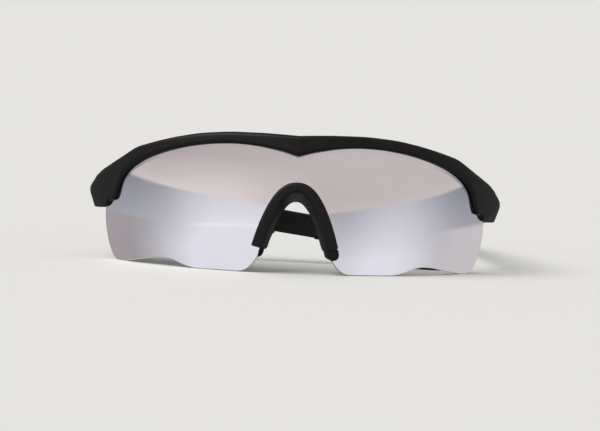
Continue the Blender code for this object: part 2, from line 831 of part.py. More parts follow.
def pad_ring(share):
    """One level section of a pad: a thin plate that opens out towards the face."""
    z = ARCH_TOP - ARCH_DEPTH * (PAD_FOOT_SHARE + (PAD_TOP_SHARE - PAD_FOOT_SHARE) * share)
    inset_share = PAD_FOOT_WIDTH_SHARE + (PAD_TOP_WIDTH_SHARE - PAD_FOOT_WIDTH_SHARE) * share
    depth = PAD_DEPTH * follow(PAD_DEPTH_SHARES, share)
    splay = PAD_SPLAY * follow(PAD_SPLAY_SHARES, share) * depth / PAD_DEPTH
    half = PAD_THICKNESS / 2
    front = np.array([ARCH_HALF_WIDTH * inset_share + half, leg_back() - FIT_GAP - half])
    back = front + np.array([splay, -(depth - PAD_THICKNESS)])
    along = (back - front) / np.linalg.norm(back - front)
    across = np.array([along[1], -along[0]])
    ring = []
    for centre, start in ((front, math.pi / 2), (back, -math.pi / 2)):
        for k in range(PAD_ROUND_STEPS + 1):
            turn = start + math.pi * k / PAD_ROUND_STEPS
            ring.append(centre + half * (math.cos(turn) * along + math.sin(turn) * across))
    return [(run, z, out) for run, out in ring]


def toe_ring(step, inside, outside, front, back):
    """A section of the pad's toe, which carries on the line of the clip's leg below its foot."""
    run, z, out_run, out_z = band_place(1.0)
    below = FIT_GAP + TOE_LENGTH * step
    middle, half = (outside - inside) / 2, (outside + inside) / 2 * follow(TOE_SHARES, step)
    low_run, low_z = run + below * out_z, z - below * out_run
    corners = [(middle - half, front), (middle + half, front), (middle + half, back), (middle - half, back)]
    return [(low_run + offset * out_run, low_z + offset * out_z, out) for offset, out in corners]


def nose_pad(label, side, lens_space):
    """A soft pad with its socket, and a toe that shows below the clip's foot."""

    def place(ring):
        return [wrap_point(side * run, z, out) for run, z, out in ring]

    plate = [place(pad_ring(k / PAD_STATIONS)) for k in range(PAD_STATIONS + 1)]
    pad = loft("nose_pad_" + label, plate, black_rubber())
    smooth(pad, PAD_CREASE)
    seat = leg_back() - FIT_GAP
    floor = leg_back() - POST_LENGTH - FIT_GAP
    block = post_box("socket_block_", label, side, FIT_GAP + SOCKET_WALL, (seat, floor - SOCKET_WALL))
    cut(pad, block, "UNION")
    toe_back = seat - PAD_THICKNESS
    if side > 0:
        widths = (TOE_INSIDE_WIDTH, TOE_OUTSIDE_WIDTH, FRAME_FACE, toe_back)
    else:
        widths = (TOE_TUCKED_WIDTH, TOE_OUTSIDE_WIDTH, -LENS_THICKNESS - 2 * FIT_GAP, toe_back)
    toe = [place(toe_ring(step, *widths)) for step, _ in TOE_SHARES]
    cut(pad, loft("toe_" + label, toe), "UNION")
    cut(pad, post_box("socket_", label, side, FIT_GAP, (seat + CUT_OVERRUN, floor)))
    cut(pad, lens_space)
    return pad


def hinge_pivot(label, side, angle):
    """The empty on a hinge axis that carries an arm and its grip."""
    x, y, _, _ = hinge_place()
    pivot = bpy.data.objects.new("hinge_axis_" + label, None)
    bpy.context.scene.collection.objects.link(pivot)
    pivot.location = (side * x, y, 0)
    pivot.rotation_euler = (0, 0, angle)
    return pivot


def build():
    clear_scene()
    shield_lens()
    front_frame()
    lens_space = lens_shell("lens_space", FIT_GAP)
    nose_clip(lens_space)
    for label, side, fold in (("left", 1, 0), ("right", -1, math.radians(-90))):
        nose_pad(label, side, lens_space)
        hinge_screw(label, side)
        hinge_insert(label, side)
        pivot = hinge_pivot(label, side, fold)
        temple_arm(label, side, pivot)
        ear_grip(label, side, pivot)


build()
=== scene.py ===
"""Looks of a pair of sport sunglasses with a one-piece mirror shield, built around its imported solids.

Metres, +Z up, -Y the way that the wearer looks, +X the wearer's left. The glasses stand on the lens's edge.
"""

import math

import bmesh
import bpy
import numpy as np
from mathutils import Matrix, Vector


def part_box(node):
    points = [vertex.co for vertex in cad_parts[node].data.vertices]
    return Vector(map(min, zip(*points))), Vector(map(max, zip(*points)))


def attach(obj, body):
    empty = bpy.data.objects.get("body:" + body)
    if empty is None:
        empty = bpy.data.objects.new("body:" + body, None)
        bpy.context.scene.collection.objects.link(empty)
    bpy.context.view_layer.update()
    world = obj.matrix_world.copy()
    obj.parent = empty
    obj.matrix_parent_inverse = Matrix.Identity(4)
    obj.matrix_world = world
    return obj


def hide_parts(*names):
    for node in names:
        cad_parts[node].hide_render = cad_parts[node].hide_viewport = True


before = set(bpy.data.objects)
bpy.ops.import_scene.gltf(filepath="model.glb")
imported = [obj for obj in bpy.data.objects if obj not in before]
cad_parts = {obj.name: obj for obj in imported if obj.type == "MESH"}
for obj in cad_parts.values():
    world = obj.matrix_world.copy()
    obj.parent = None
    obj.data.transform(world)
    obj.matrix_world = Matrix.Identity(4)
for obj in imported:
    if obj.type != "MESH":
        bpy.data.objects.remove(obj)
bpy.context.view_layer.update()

# Shield lens
# One piece of smoke-tinted polycarbonate, moulded round the face, with a silver mirror coating on its front.
# Its upper edge sits in the groove of the browline, and its cut-out holds the nose clip.

WRAP_RADIUS = 0.0800
WRAP_ANGLE = math.radians(58.5)
TURN_RADIUS = 0.0100
HINGE_RUN = 0.0031
WRAP_RUN = WRAP_RADIUS * WRAP_ANGLE + TURN_RADIUS * (math.pi / 2 - WRAP_ANGLE) + HINGE_RUN

LENS_HEIGHT = 0.0440
LENS_THICKNESS = 0.0020
LENS_CROWN_RADIUS = 0.1150
LENS_MIDDLE = 0.545 * LENS_HEIGHT
LENS_END = WRAP_RADIUS * math.radians(54.6)
LENS_TUCK = 0.0019
LENS_POLISH = 0.00035
LENS_POLISH_LIMIT_SHARE = 0.3
LENS_ROW_POWER = 1.7
LENS_SIDE_SHARE = 0.86
LENS_COUNTS = (57, 25, 71, 61, 7)
LENS_RIM = 0.0016
LENS_RIM_FADE = 0.0006
LENS_RIM_STEP = 0.0002
# Along the wrap, how strongly the painted reflection darkens the strip beside the browline's edge
LENS_RIM_REFLECTION_SHARES = (
    (0.0, 0.10),
    (0.52, 0.10),
    (0.60, 0.55),
    (0.66, 1.0),
    (0.70, 1.0),
    (0.72, 0.5),
    (0.74, 0.0),
    (1.0, 0.0),
)
LENS_LOWER_SHARES = (
    (0.0, 0.0),
    (0.4500, 0.0),
    (0.4900, 0.0090),
    (0.5350, 0.0300),
    (0.5750, 0.0530),
    (0.6200, 0.0610),
    (0.6700, 0.0550),
    (0.7200, 0.0410),
    (0.7850, 0.0220),
    (0.8500, 0.0050),
    (0.8800, 0.0),
    (0.9220, 0.0),
    (0.9450, 0.0120),
    (0.9640, 0.0400),
    (0.9780, 0.0880),
    (0.9880, 0.1400),
    (0.9960, 0.2200),
    (1.0, 0.2900),
)
LENS_CORNER_SHARES = (
    (0.6400, 0.9600),
    (0.7700, 0.8000),
    (0.8250, 0.7400),
    (0.8800, 0.6800),
    (0.9350, 0.6100),
    (0.9700, 0.5300),
    (0.9880, 0.4500),
    (0.9960, 0.3900),
    (1.0, 0.3350),
)
ARCH_TOP = 0.0282
ARCH_DEPTH = 0.0228
ARCH_HALF_WIDTH = 0.01235
ARCH_POWER = 2.3
FLARE_REACH = 0.0076
FLARE_END = ARCH_HALF_WIDTH + FLARE_REACH
FLARE_POWER = 2.6

FRAME_HEIGHT = LENS_HEIGHT + 0.0017
FRAME_EDGE_SHARES = (
    (0.0, 0.846),
    (0.020, 0.857),
    (0.056, 0.877),
    (0.096, 0.892),
    (0.144, 0.907),
    (0.186, 0.914),
    (0.237, 0.918),
    (0.309, 0.912),
    (0.402, 0.888),
    (0.490, 0.850),
    (0.586, 0.791),
    (0.614, 0.769),
    (0.640, 0.745),
    (0.664, 0.719),
    (0.682, 0.696),
    (0.702, 0.665),
    (0.720, 0.629),
    (0.734, 0.590),
    (0.749, 0.531),
    (0.756, 0.502),
    (0.768, 0.462),
    (0.772, 0.451),
    (0.784, 0.443),
    (0.797, 0.434),
    (0.805, 0.420),
    (0.813, 0.406),
    (0.825, 0.394),
    (0.845, 0.385),
    (0.870, 0.381),
    (0.910, 0.378),
    (1.0, 0.378),
)


def follow(shares, at):
    """Smooth curve through a table of (place, value).

    Between two places the value is a cubic. Its slope at each place is the harmonic mean of the slopes on
    either side, or level where they change sign, so the curve never overshoots the table.
    """
    places, values = np.array(shares).T
    steps = np.diff(places)
    slopes = np.diff(values) / steps
    before, after = slopes[:-1], slopes[1:]
    same = before * after > 0
    middle = np.where(same, 2 * before * after / np.where(same, before + after, 1), 0)
    tangents = np.concatenate([slopes[:1], middle, slopes[-1:]])
    at = np.clip(at, places[0], places[-1])
    k = np.clip(np.searchsorted(places, at, side="right") - 1, 0, len(steps) - 1)
    t = (at - places[k]) / steps[k]
    start = (1 + 2 * t) * (1 - t) ** 2 * values[k] + t * (1 - t) ** 2 * steps[k] * tangents[k]
    return start + t * t * (3 - 2 * t) * values[k + 1] + t * t * (t - 1) * steps[k] * tangents[k + 1]


def frame_edge(run):
    """Height of the browline's lower edge at a distance along the wrap: a share of the frame's height."""
    return FRAME_HEIGHT * follow(FRAME_EDGE_SHARES, np.abs(run) / WRAP_RUN)


def crown(z):
    """Set-back of the lens at a height: the sagitta of a circle about the lens's middle height."""
    return LENS_CROWN_RADIUS - np.sqrt(LENS_CROWN_RADIUS**2 - (z - LENS_MIDDLE) ** 2)


LENS_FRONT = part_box("shield_lens")[0].y - crown(ARCH_TOP)


def wrap_point(run, z, out):
    """Point at a distance along the wrap, a height, and a distance out from the lens's face.

    In plan the wrap is an arc about the head, then a tight arc that turns it straight back to the hinge.
    The point leaves that line along its normal by out less the crown's set-back.
    """
    run, z, out = np.broadcast_arrays(run, z, out)
    left = np.abs(run)
    arc = np.minimum(left, WRAP_RADIUS * WRAP_ANGLE)
    turn = np.clip(left - arc, 0, TURN_RADIUS * (math.pi / 2 - WRAP_ANGLE))
    back = left - arc - turn
    angle = arc / WRAP_RADIUS
    after = angle + turn / TURN_RADIUS
    x = WRAP_RADIUS * np.sin(angle) + TURN_RADIUS * (np.sin(after) - np.sin(angle))
    y = WRAP_RADIUS * (1 - np.cos(angle)) + TURN_RADIUS * (np.cos(angle) - np.cos(after))
    x, y = x + back * np.cos(after), y + back * np.sin(after)
    reach = out - crown(z)
    side = np.where(run < 0, -1.0, 1.0)
    return np.stack([side * (x + np.sin(after) * reach), LENS_FRONT + y - np.cos(after) * reach, z], axis=-1)


def lens_edges(run, clearance=0.0):
    """Lower and upper edge of the lens along the wrap.

    The lower edge is a power curve over the nose, a power flare beside it, then the waved table. The upper
    edge is the browline's edge plus the tuck into its groove, or the rounded outer corner where that is lower.
    """
    left = np.abs(run)
    width = ARCH_HALF_WIDTH - clearance
    share = np.minimum(left / (LENS_END + clearance), 1.0)
    arch = ARCH_TOP - clearance - ARCH_DEPTH * np.minimum(left / width, 1.0) ** ARCH_POWER
    away = np.clip(1 - (left - width) / FLARE_REACH, 0.0, 1.0)
    flare = (ARCH_TOP - ARCH_DEPTH) * away**FLARE_POWER
    waved = flare + LENS_HEIGHT * follow(LENS_LOWER_SHARES, share) - clearance
    corner = LENS_HEIGHT * follow(LENS_CORNER_SHARES, share)
    tucked = frame_edge(share * LENS_END) + LENS_TUCK
    return np.where(left <= width, arch, waved), np.minimum(corner, tucked) + clearance


def mirrored(stops, counts):
    """Places on both sides of 0, evenly spaced within each stretch between two stops."""
    half = [np.linspace(start, stop, count)[1:] for start, stop, count in zip(stops, stops[1:], counts)]
    half = np.concatenate(half)
    return np.concatenate([-half[::-1], [stops[0]], half])


def skin(name, grid, joined=False, finish=None):
    """Closed skin over a grid of points: rows of sections, each a closed loop of columns.

    Face i, j joins points (i, j), (i, j+1), (i+1, j+1) and (i+1, j). The first and last section get a cap,
    unless the rows are joined end to end. finish gives each column of faces its material number.
    """
    rows, columns = grid.shape[:2]
    last = rows if joined else rows - 1
    i, j = np.meshgrid(np.arange(last), np.arange(columns), indexing="ij")
    here, there, beside = i * columns, (i + 1) % rows * columns, (j + 1) % columns
    quads = np.stack([here + j, here + beside, there + beside, there + j], axis=-1)
    faces = quads.reshape(-1, 4).tolist()
    numbers = np.zeros((last, columns), int) if finish is None else np.tile(finish, (last, 1))
    numbers = numbers.ravel().tolist()
    if not joined:
        faces += [list(range(columns)), list(range((rows - 1) * columns, rows * columns))]
        numbers += [0, 0] if finish is None else [int(max(finish))] * 2
    mesh = bpy.data.meshes.new(name)
    mesh.from_pydata(grid.reshape(-1, 3), [], faces)
    mesh.polygons.foreach_set("material_index", numbers)
    made = bpy.data.objects.new(name, mesh)
    bpy.context.scene.collection.objects.link(made)
    tidy_mesh(made)
    return made


def tidy_mesh(made, apart=2e-6):
    """Merges points that coincide, removes faces that this leaves without area and turns the rest outwards."""
    body = bmesh.new()
    body.from_mesh(made.data)
    bmesh.ops.remove_doubles(body, verts=body.verts, dist=apart)
    bmesh.ops.dissolve_degenerate(body, edges=body.edges, dist=apart)
    bmesh.ops.recalc_face_normals(body, faces=body.faces)
    body.to_mesh(made.data)
    body.free()


def shade(made, crease=math.radians(30)):
    """Smooth shading between edges sharper than the crease, with flats that keep their own normal."""
    made.data.shade_smooth()
    made.data.set_sharp_from_angle(angle=crease)
    weighted = made.modifiers.new("flat normals", "WEIGHTED_NORMAL")
    weighted.keep_sharp = True


def lens_grid(columns, rows=41, rounds=4):
    """Sections of the lens: up the front, round the polished upper edge, down the back, round the lower edge.

    The edges are quarter circles of the polish radius, measured square to the edge, so their height grows with
    the edge's slope. At both ends the thickness closes in along the same quarter circle. The rows close up
    towards the browline as a power of their distance from it.
    """
    low, high = lens_edges(columns)
    limit = LENS_POLISH_LIMIT_SHARE * (high - low)
    steep = [np.hypot(1, np.gradient(edge, columns)) for edge in (low, high)]
    ease_low, ease_high = (np.minimum(LENS_POLISH * size, limit)[:, None] for size in steep)
    low, high = low[:, None], high[:, None]
    up = 1 - np.linspace(1, 0, rows)[None, :] ** LENS_ROW_POWER
    turn = np.linspace(0, math.pi / 2, rounds + 1)[None, 1:]
    sheet = low + ease_low + (high - low - ease_low - ease_high) * up
    top = high - ease_high * (1 - np.sin(turn))
    bottom = low + ease_low * (1 - np.sin(turn))
    face = 0 * sheet
    lip = -LENS_POLISH * (1 - np.cos(turn)) + 0 * top
    z = np.concatenate([sheet, top, top[:, ::-1], sheet[:, ::-1], bottom, bottom[:, ::-1]], axis=1)
    back = -LENS_THICKNESS
    out = np.concatenate([face, lip, back - lip[:, ::-1], face + back, back - lip, lip[:, ::-1]], axis=1)
    left = np.clip((np.abs(columns) - (LENS_END - LENS_POLISH)) / LENS_POLISH, 0, 1)
    thin = 1 - 2 * LENS_POLISH / LENS_THICKNESS * (1 - np.sqrt(1 - left**2))
    middle = back / 2
    out = middle + (out - middle) * thin[:, None]
    finish = np.ones(z.shape[1], int)
    finish[: rows + 1] = 0
    finish[-rounds:] = 0
    return wrap_point(columns[:, None], z, out), finish


def mark_painted_rim_reflection(made):
    """Keeps the weight of a painted reflection, 0 to 1, as the attribute rim: a strip along the browline's
    edge, strongest beside its corners.

    A point's run is the wrap's radius times the arcsine of x over that radius less the crown. Its distance to
    the browline's edge is measured square to the edge, and a table along the wrap weighs the value.
    """
    points = np.empty(3 * len(made.data.vertices), np.float32)
    made.data.vertices.foreach_get("co", points)
    x, _, z = points.reshape(-1, 3).T
    run = WRAP_RADIUS * np.arcsin(np.clip(np.abs(x) / (WRAP_RADIUS - crown(z)), 0, 1))
    step = LENS_RIM_STEP
    slope = (frame_edge(run + step) - frame_edge(run - step)) / (2 * step)
    near = np.clip((LENS_RIM - (frame_edge(run) - z) / np.hypot(1, slope)) / LENS_RIM_FADE, 0, 1)
    rim = made.data.attributes.new("rim", "FLOAT", "POINT")
    rim.data.foreach_set("value", (near * follow(LENS_RIM_REFLECTION_SHARES, run / WRAP_RUN)).astype(np.float32))


lens_stops = (0, ARCH_HALF_WIDTH, FLARE_END, LENS_SIDE_SHARE * LENS_END, LENS_END - LENS_POLISH, LENS_END)
lens_points, lens_finish = lens_grid(mirrored(lens_stops, LENS_COUNTS))
lens = skin("mirror_shield", lens_points, finish=lens_finish)
mark_painted_rim_reflection(lens)
shade(lens)


def new_material(name, roughness, metallic=0.0):
    """A Principled material and its node tree."""
    made = bpy.data.materials.new(name)
    made.use_nodes = True
    shader = made.node_tree.nodes["Principled BSDF"]
    shader.inputs["Roughness"].default_value = roughness
    shader.inputs["Metallic"].default_value = metallic
    return made, made.node_tree, shader


def new_group(name, inputs, outputs):
    """An empty node group with named inputs, each (name, socket kind, value), and named outputs."""
    group = bpy.data.node_groups.new(name, "ShaderNodeTree")
    for label, kind, value in inputs:
        socket = group.interface.new_socket(label, in_out="INPUT", socket_type=kind)
        socket.default_value = value
    for label, kind in outputs:
        group.interface.new_socket(label, in_out="OUTPUT", socket_type=kind)
    return group, group.nodes.new("NodeGroupInput"), group.nodes.new("NodeGroupOutput")


def feed(tree, socket, value):
    """Links a socket to an input, or sets the input to a number or a colour."""
    if isinstance(value, bpy.types.NodeSocket):
        tree.links.new(value, socket)
    else:
        socket.default_value = (*value, 1.0) if isinstance(value, tuple) else value


def maths(tree, operation, *values):
    """One step of arithmetic on sockets and numbers."""
    made = tree.nodes.new("ShaderNodeMath")
    made.operation = operation
    for socket, value in zip(made.inputs, values):
        feed(tree, socket, value)
    return made.outputs[0]


def noise(tree, scale, detail, roughness=0.55, where=None):
    """A 3-D noise, read at object coordinates in metres unless another place is given."""
    if where is None:
        where = tree.nodes.new("ShaderNodeTexCoord").outputs["Object"]
    made = tree.nodes.new("ShaderNodeTexNoise")
    for label, value in (("Vector", where), ("Scale", scale), ("Detail", detail), ("Roughness", roughness)):
        feed(tree, made.inputs[label], value)
    return made.outputs["Fac"]


def remap(tree, value, low, high, to_low, to_high):
    """A value carried from one range to another, and held at its ends."""
    made = tree.nodes.new("ShaderNodeMapRange")
    for socket, number in zip(made.inputs, (value, low, high, to_low, to_high)):
        feed(tree, socket, number)
    return made.outputs["Result"]


def blend_colours(tree, share, first, second):
    """Two colours mixed by a share, each a socket or a constant."""
    made = tree.nodes.new("ShaderNodeMix")
    made.data_type = "RGBA"
    for socket, value in ((made.inputs[0], share), (made.inputs[6], first), (made.inputs[7], second)):
        feed(tree, socket, value)
    return made.outputs[2]


def handling_group():
    """Finger smudges and faint wiping marks: a mask from 0, clean, to 1, that raises the roughness."""
    inputs = (("Roughness", "NodeSocketFloat", 0.1), ("Smudge", "NodeSocketFloat", 0.05))
    group, given, result = new_group("handling marks", inputs, (("Roughness", "NodeSocketFloat"),))
    patches = remap(group, noise(group, scale=55, detail=2.0), 0.48, 0.70, 0.0, 1.0)
    fine = remap(group, noise(group, scale=420, detail=4.0, roughness=0.7), 0.40, 0.65, 0.35, 1.0)
    marked = maths(group, "MULTIPLY", patches, fine)
    rise = maths(group, "MULTIPLY_ADD", marked, given.outputs["Smudge"], given.outputs["Roughness"])
    group.links.new(rise, result.inputs["Roughness"])
    return group


handling = handling_group()


def use_group(tree, group, values):
    """A group's node, with each of its named inputs set or linked."""
    node = tree.nodes.new("ShaderNodeGroup")
    node.node_tree = group
    for label, value in values.items():
        feed(tree, node.inputs[label], value)
    return node


def add_handling(tree, shader, roughness, smudge):
    """Feeds a shader's roughness from the handling marks."""
    node = use_group(tree, handling, {"Roughness": roughness, "Smudge": smudge})
    tree.links.new(node.outputs["Roughness"], shader.inputs["Roughness"])


COATING_COLOURS = ((0.80, 0.80, 0.81), (0.78, 0.77, 0.78))
# Painted reflection: the darker, bluer tone laid on the coating beside the browline's edge
PAINTED_RIM_REFLECTION_COLOUR = (0.36, 0.39, 0.44)
SMOKE_COLOURS = ((0.030, 0.027, 0.028), (0.040, 0.036, 0.037))


def mirror_coating(roughness=0.03):
    """Coated silver: a sharp mirror with the faint clouds of a thin coat, and a painted reflection that makes
    it darker and bluer at its rim.
    """
    made, tree, shader = new_material("silver mirror coating", roughness, metallic=1.0)
    clouds = remap(tree, noise(tree, scale=45, detail=2.0), 0.35, 0.65, 0.0, 1.0)
    colour = blend_colours(tree, clouds, *COATING_COLOURS)
    # Painted reflection: the coating turns darker and bluer where the attribute rim is high
    rim = tree.nodes.new("ShaderNodeAttribute")
    rim.attribute_name = "rim"
    colour = blend_colours(tree, rim.outputs["Fac"], colour, PAINTED_RIM_REFLECTION_COLOUR)
    tree.links.new(colour, shader.inputs["Base Color"])
    add_handling(tree, shader, roughness, smudge=0.05)
    return made


def smoke_polycarbonate(roughness=0.06):
    """The tinted body of the lens, seen from behind and at its polished edges."""
    made, tree, shader = new_material("smoke polycarbonate", roughness)
    tone = remap(tree, noise(tree, scale=30, detail=1.0), 0.3, 0.7, 0.0, 1.0)
    tree.links.new(blend_colours(tree, tone, *SMOKE_COLOURS), shader.inputs["Base Color"])
    shader.inputs["Coat Weight"].default_value = 0.6
    shader.inputs["Coat Roughness"].default_value = 0.04
    add_handling(tree, shader, roughness, smudge=0.08)
    return made


for finish_made in (mirror_coating(), smoke_polycarbonate()):
    lens.data.materials.append(finish_made)
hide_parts("shield_lens")
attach(lens, "front")

# Browline and hinge lugs
# The half-rim frame is one nylon moulding, bevelled above and below its face, with a crest over the nose and a
# foot that laps over each side of the lens. A groove underneath takes the lens, and two lugs end each side.

FIT_GAP = 0.0003
FRAME_TOP_SHARES = (
    (0.0, 0.989),
    (0.062, 0.995),
    (0.155, 1.0),
    (0.235, 1.0),
    (0.356, 0.984),
    (0.458, 0.952),
    (0.503, 0.933),
    (0.554, 0.910),
    (0.599, 0.887),
    (0.652, 0.858),
    (0.702, 0.811),
    (0.736, 0.777),
    (0.781, 0.736),
    (0.820, 0.702),
    (0.865, 0.667),
    (0.905, 0.637),
    (0.950, 0.616),
    (1.0, 0.605),
)
FRAME_FACE = 0.0016
FRAME_BACK = 0.0056
FRAME_BACK_SHARES = ((0.0, 0.625), (0.80, 0.625), (0.87, 0.78), (0.95, 1.0), (1.0, 1.0))
FRAME_REAR_EASE = 0.0006
CREST_RISE = 0.0014
CREST_REACH = 0.0180
END_LOW = FRAME_HEIGHT * FRAME_EDGE_SHARES[-1][1]
END_HIGH = FRAME_HEIGHT * FRAME_TOP_SHARES[-1][1]
END_HEIGHT = END_HIGH - END_LOW
UPPER_BEVEL = 0.427 * END_HEIGHT
LOWER_BEVEL = 0.542 * END_HEIGHT
UPPER_BEVEL_DEPTH = 0.0027
LOWER_BEVEL_DEPTH = 0.0016
UPPER_BEVEL_DEPTH_SHARES = ((0.0, 0.24), (0.60, 0.24), (0.84, 0.33), (0.93, 0.78), (1.0, 1.0))
UPPER_BEVEL_HEIGHT_SHARES = ((0.0, 0.14), (0.60, 0.16), (0.84, 0.36), (0.93, 0.85), (1.0, 1.0))
LOWER_BEVEL_DEPTH_SHARES = (
    (0.0, 0.50),
    (0.725, 0.50),
    (0.765, 0.06),
    (0.772, 0.06),
    (0.783, 0.50),
    (0.84, 0.50),
    (0.90, 0.85),
    (1.0, 1.0),
)
LOWER_BEVEL_HEIGHT_SHARES = (
    (0.0, 0.155),
    (0.50, 0.155),
    (0.60, 0.20),
    (0.70, 0.31),
    (0.77, 0.26),
    (0.81, 0.16),
    (0.86, 0.38),
    (0.93, 0.84),
    (1.0, 1.0),
)
HINGE_INSET = 0.0050
HINGE_X = wrap_point(WRAP_RUN, LENS_MIDDLE, FRAME_FACE)[0] - HINGE_INSET
HINGE_Y = wrap_point(WRAP_RUN, LENS_MIDDLE, 0.0)[1]
LUG_RADIUS = 0.0024
LUG_EDGE = 0.0003
LUG_INSET = 0.0004
LUG_LOW, LUG_HIGH = END_LOW + LUG_INSET, END_HIGH - LUG_INSET
ROOM_RADIUS = LUG_RADIUS + FIT_GAP
KNUCKLE_HEIGHT = 0.0030
KNUCKLE_LOW = (END_LOW + END_HIGH - KNUCKLE_HEIGHT) / 2
KNUCKLE_HIGH = KNUCKLE_LOW + KNUCKLE_HEIGHT
OVERRUN = 0.0020
SCREW_RADIUS = 0.0006
BORE_RADIUS = SCREW_RADIUS + FIT_GAP
SCREW_HEAD_RADIUS = 0.0013
SCREW_HEAD_HEIGHT = 0.0008
INSERT_RADIUS = 0.00135
INSERT_HEIGHT = 0.0014


def eased(loops, radii, rounds=4, most=0.45):
    """Closed loops of corners with each corner rounded.

    A corner becomes the quadratic curve from a point on one side to a point on the next, with the corner as
    its control point. The points lie at the corner's radius, or at the most share of the side where that is
    less. A radius of 0 keeps the corner as a single point repeated.
    """
    before, after = np.roll(loops, 1, axis=1), np.roll(loops, -1, axis=1)
    radii = np.asarray(radii)[None, :, None]

    def towards(other):
        way = other - loops
        size = np.maximum(np.linalg.norm(way, axis=2, keepdims=True), 1e-9)
        return loops + way / size * np.minimum(radii, most * size)

    t = np.linspace(0, 1, rounds + 1)[None, None, :, None]
    start, stop, corner = (part[:, :, None, :] for part in (towards(before), towards(after), loops))
    curve = (1 - t) ** 2 * start + 2 * t * (1 - t) * corner + t**2 * stop
    return curve.reshape(len(loops), -1, 3)


def browline_loops(run):
    """Sections of the browline: lip, face between two bevels, top, back, and the groove that takes the lens.

    Every height and depth is a share from a table along the wrap. The crest adds a straight rise of the face
    towards the centre. The groove is as deep as the lens reaches past the browline's edge, and beyond the lens
    it closes behind the lower bevel.
    """
    share = np.abs(run) / WRAP_RUN
    top, low = FRAME_HEIGHT * follow(FRAME_TOP_SHARES, share), frame_edge(run)
    face = FRAME_FACE + CREST_RISE * np.maximum(1 - np.abs(run) / CREST_REACH, 0)
    back = -FRAME_BACK * follow(FRAME_BACK_SHARES, share)
    upper_in = UPPER_BEVEL_DEPTH * follow(UPPER_BEVEL_DEPTH_SHARES, share)
    upper_down = UPPER_BEVEL * follow(UPPER_BEVEL_HEIGHT_SHARES, share)
    lower_in = LOWER_BEVEL_DEPTH * follow(LOWER_BEVEL_DEPTH_SHARES, share)
    lower_up = LOWER_BEVEL * follow(LOWER_BEVEL_HEIGHT_SHARES, share)
    inside = np.abs(run) < LENS_END + FIT_GAP
    roof = np.where(inside, np.maximum(lens_edges(run, FIT_GAP)[1], low), low)
    behind, before = 0 * low - LENS_THICKNESS - FIT_GAP, np.minimum(FIT_GAP, face - lower_in - FIT_GAP)
    ease = FRAME_REAR_EASE
    out = (face - lower_in, face, face, face - upper_in, back + ease, back, back, back + ease)
    z = (low, low + lower_up, top - upper_down, top, top, top - ease, low + ease, low)
    out = np.stack(out + (behind, behind, before, before), axis=1)
    z = np.stack(z + (low, roof, roof, low), axis=1)
    return wrap_point(run[:, None], z, out)


def circles(axis, radius, z, turn):
    """Level circles about an upright axis: a row of points, one for each turn, for each radius and height."""
    x, y = axis[0] + radius * np.cos(turn), axis[1] + radius * np.sin(turn)
    return np.stack([x, y, np.broadcast_to(z, x.shape)], axis=2)


def turned(name, axis, profile, sides=48):
    """Solid of revolution about an upright axis: each (radius, height) of the profile gives one circle."""
    radius, z = np.array(profile).T[:, :, None]
    return skin(name, circles(axis, radius, z, np.linspace(0, 2 * math.pi, sides, endpoint=False)))


def barrel(radius, low, high, ease):
    """Profile of a round pin with both of its rims eased."""
    return (radius - ease, low), (radius, low + ease), (radius, high - ease), (radius - ease, high)


def carve(made, steps):
    """Adds or takes away tools from a piece, one boolean after another, and keeps the result as its mesh."""
    for tool, operation in steps:
        step = made.modifiers.new(tool.name, "BOOLEAN")
        step.operation = operation
        step.solver = "EXACT"
        step.object = tool
    graph = bpy.context.evaluated_depsgraph_get()
    mesh = bpy.data.meshes.new_from_object(made.evaluated_get(graph))
    made.modifiers.clear()
    made.data = mesh
    for tool, _ in steps:
        bpy.data.objects.remove(tool)
    tidy_mesh(made)


def mark_edges(made):
    """Keeps how sharply the faces turn at each point, as the attribute edge that the finishes read.

    The value is 1 less the length of the mean of the normals of the faces that meet at the point.
    """
    mesh = made.data
    corners = np.empty(len(mesh.loops), np.int32)
    mesh.loops.foreach_get("vertex_index", corners)
    sizes = np.empty(len(mesh.polygons), np.int32)
    mesh.polygons.foreach_get("loop_total", sizes)
    normals = np.empty(3 * len(mesh.polygons), np.float32)
    mesh.polygons.foreach_get("normal", normals)
    normals = np.repeat(normals.reshape(-1, 3), sizes, axis=0)
    count = len(mesh.vertices)
    total = np.stack([np.bincount(corners, axis, count) for axis in normals.T], axis=1)
    met = np.maximum(np.bincount(corners, minlength=count), 1)
    edge = mesh.attributes.new("edge", "FLOAT", "POINT")
    edge.data.foreach_set("value", 1 - np.linalg.norm(total, axis=1) / met)


SECTION_SHARES = (0.0, 0.0007, 0.20, 0.62, 0.70, 0.80, 0.86, 1.0)
SECTION_COUNTS = (2, 31, 61, 25, 81, 21, 41)
CORNER_RADII = (0.00025, 0.0006, 0.0006, 0.0008, 0.0004, 0.0004, 0.0004, 0.0004, 0, 0, 0, 0)

frame_runs = mirrored([WRAP_RUN * share for share in SECTION_SHARES], SECTION_COUNTS)
browline = skin("browline", eased(browline_loops(frame_runs), CORNER_RADII))
hinge_axes = [(side * HINGE_X, HINGE_Y) for side in (1, -1)]
seat = LUG_LOW + SCREW_HEAD_HEIGHT + 2 * FIT_GAP
pocket = LUG_HIGH - INSERT_HEIGHT - 2 * FIT_GAP
bore_profile = (
    (SCREW_HEAD_RADIUS + FIT_GAP, END_LOW - OVERRUN),
    (SCREW_HEAD_RADIUS + FIT_GAP, seat),
    (BORE_RADIUS, seat),
    (BORE_RADIUS, pocket),
    (INSERT_RADIUS + FIT_GAP, pocket),
    (INSERT_RADIUS + FIT_GAP, END_HIGH + OVERRUN),
)
lug_steps = (
    (barrel(LUG_RADIUS, LUG_LOW, LUG_HIGH, LUG_EDGE), "UNION"),
    (((ROOM_RADIUS, KNUCKLE_LOW - FIT_GAP), (ROOM_RADIUS, KNUCKLE_HIGH + FIT_GAP)), "DIFFERENCE"),
    (bore_profile, "DIFFERENCE"),
)
for axis in hinge_axes:
    carve(browline, [(turned("lug_tool", axis, profile), kind) for profile, kind in lug_steps])
mark_edges(browline)
shade(browline)


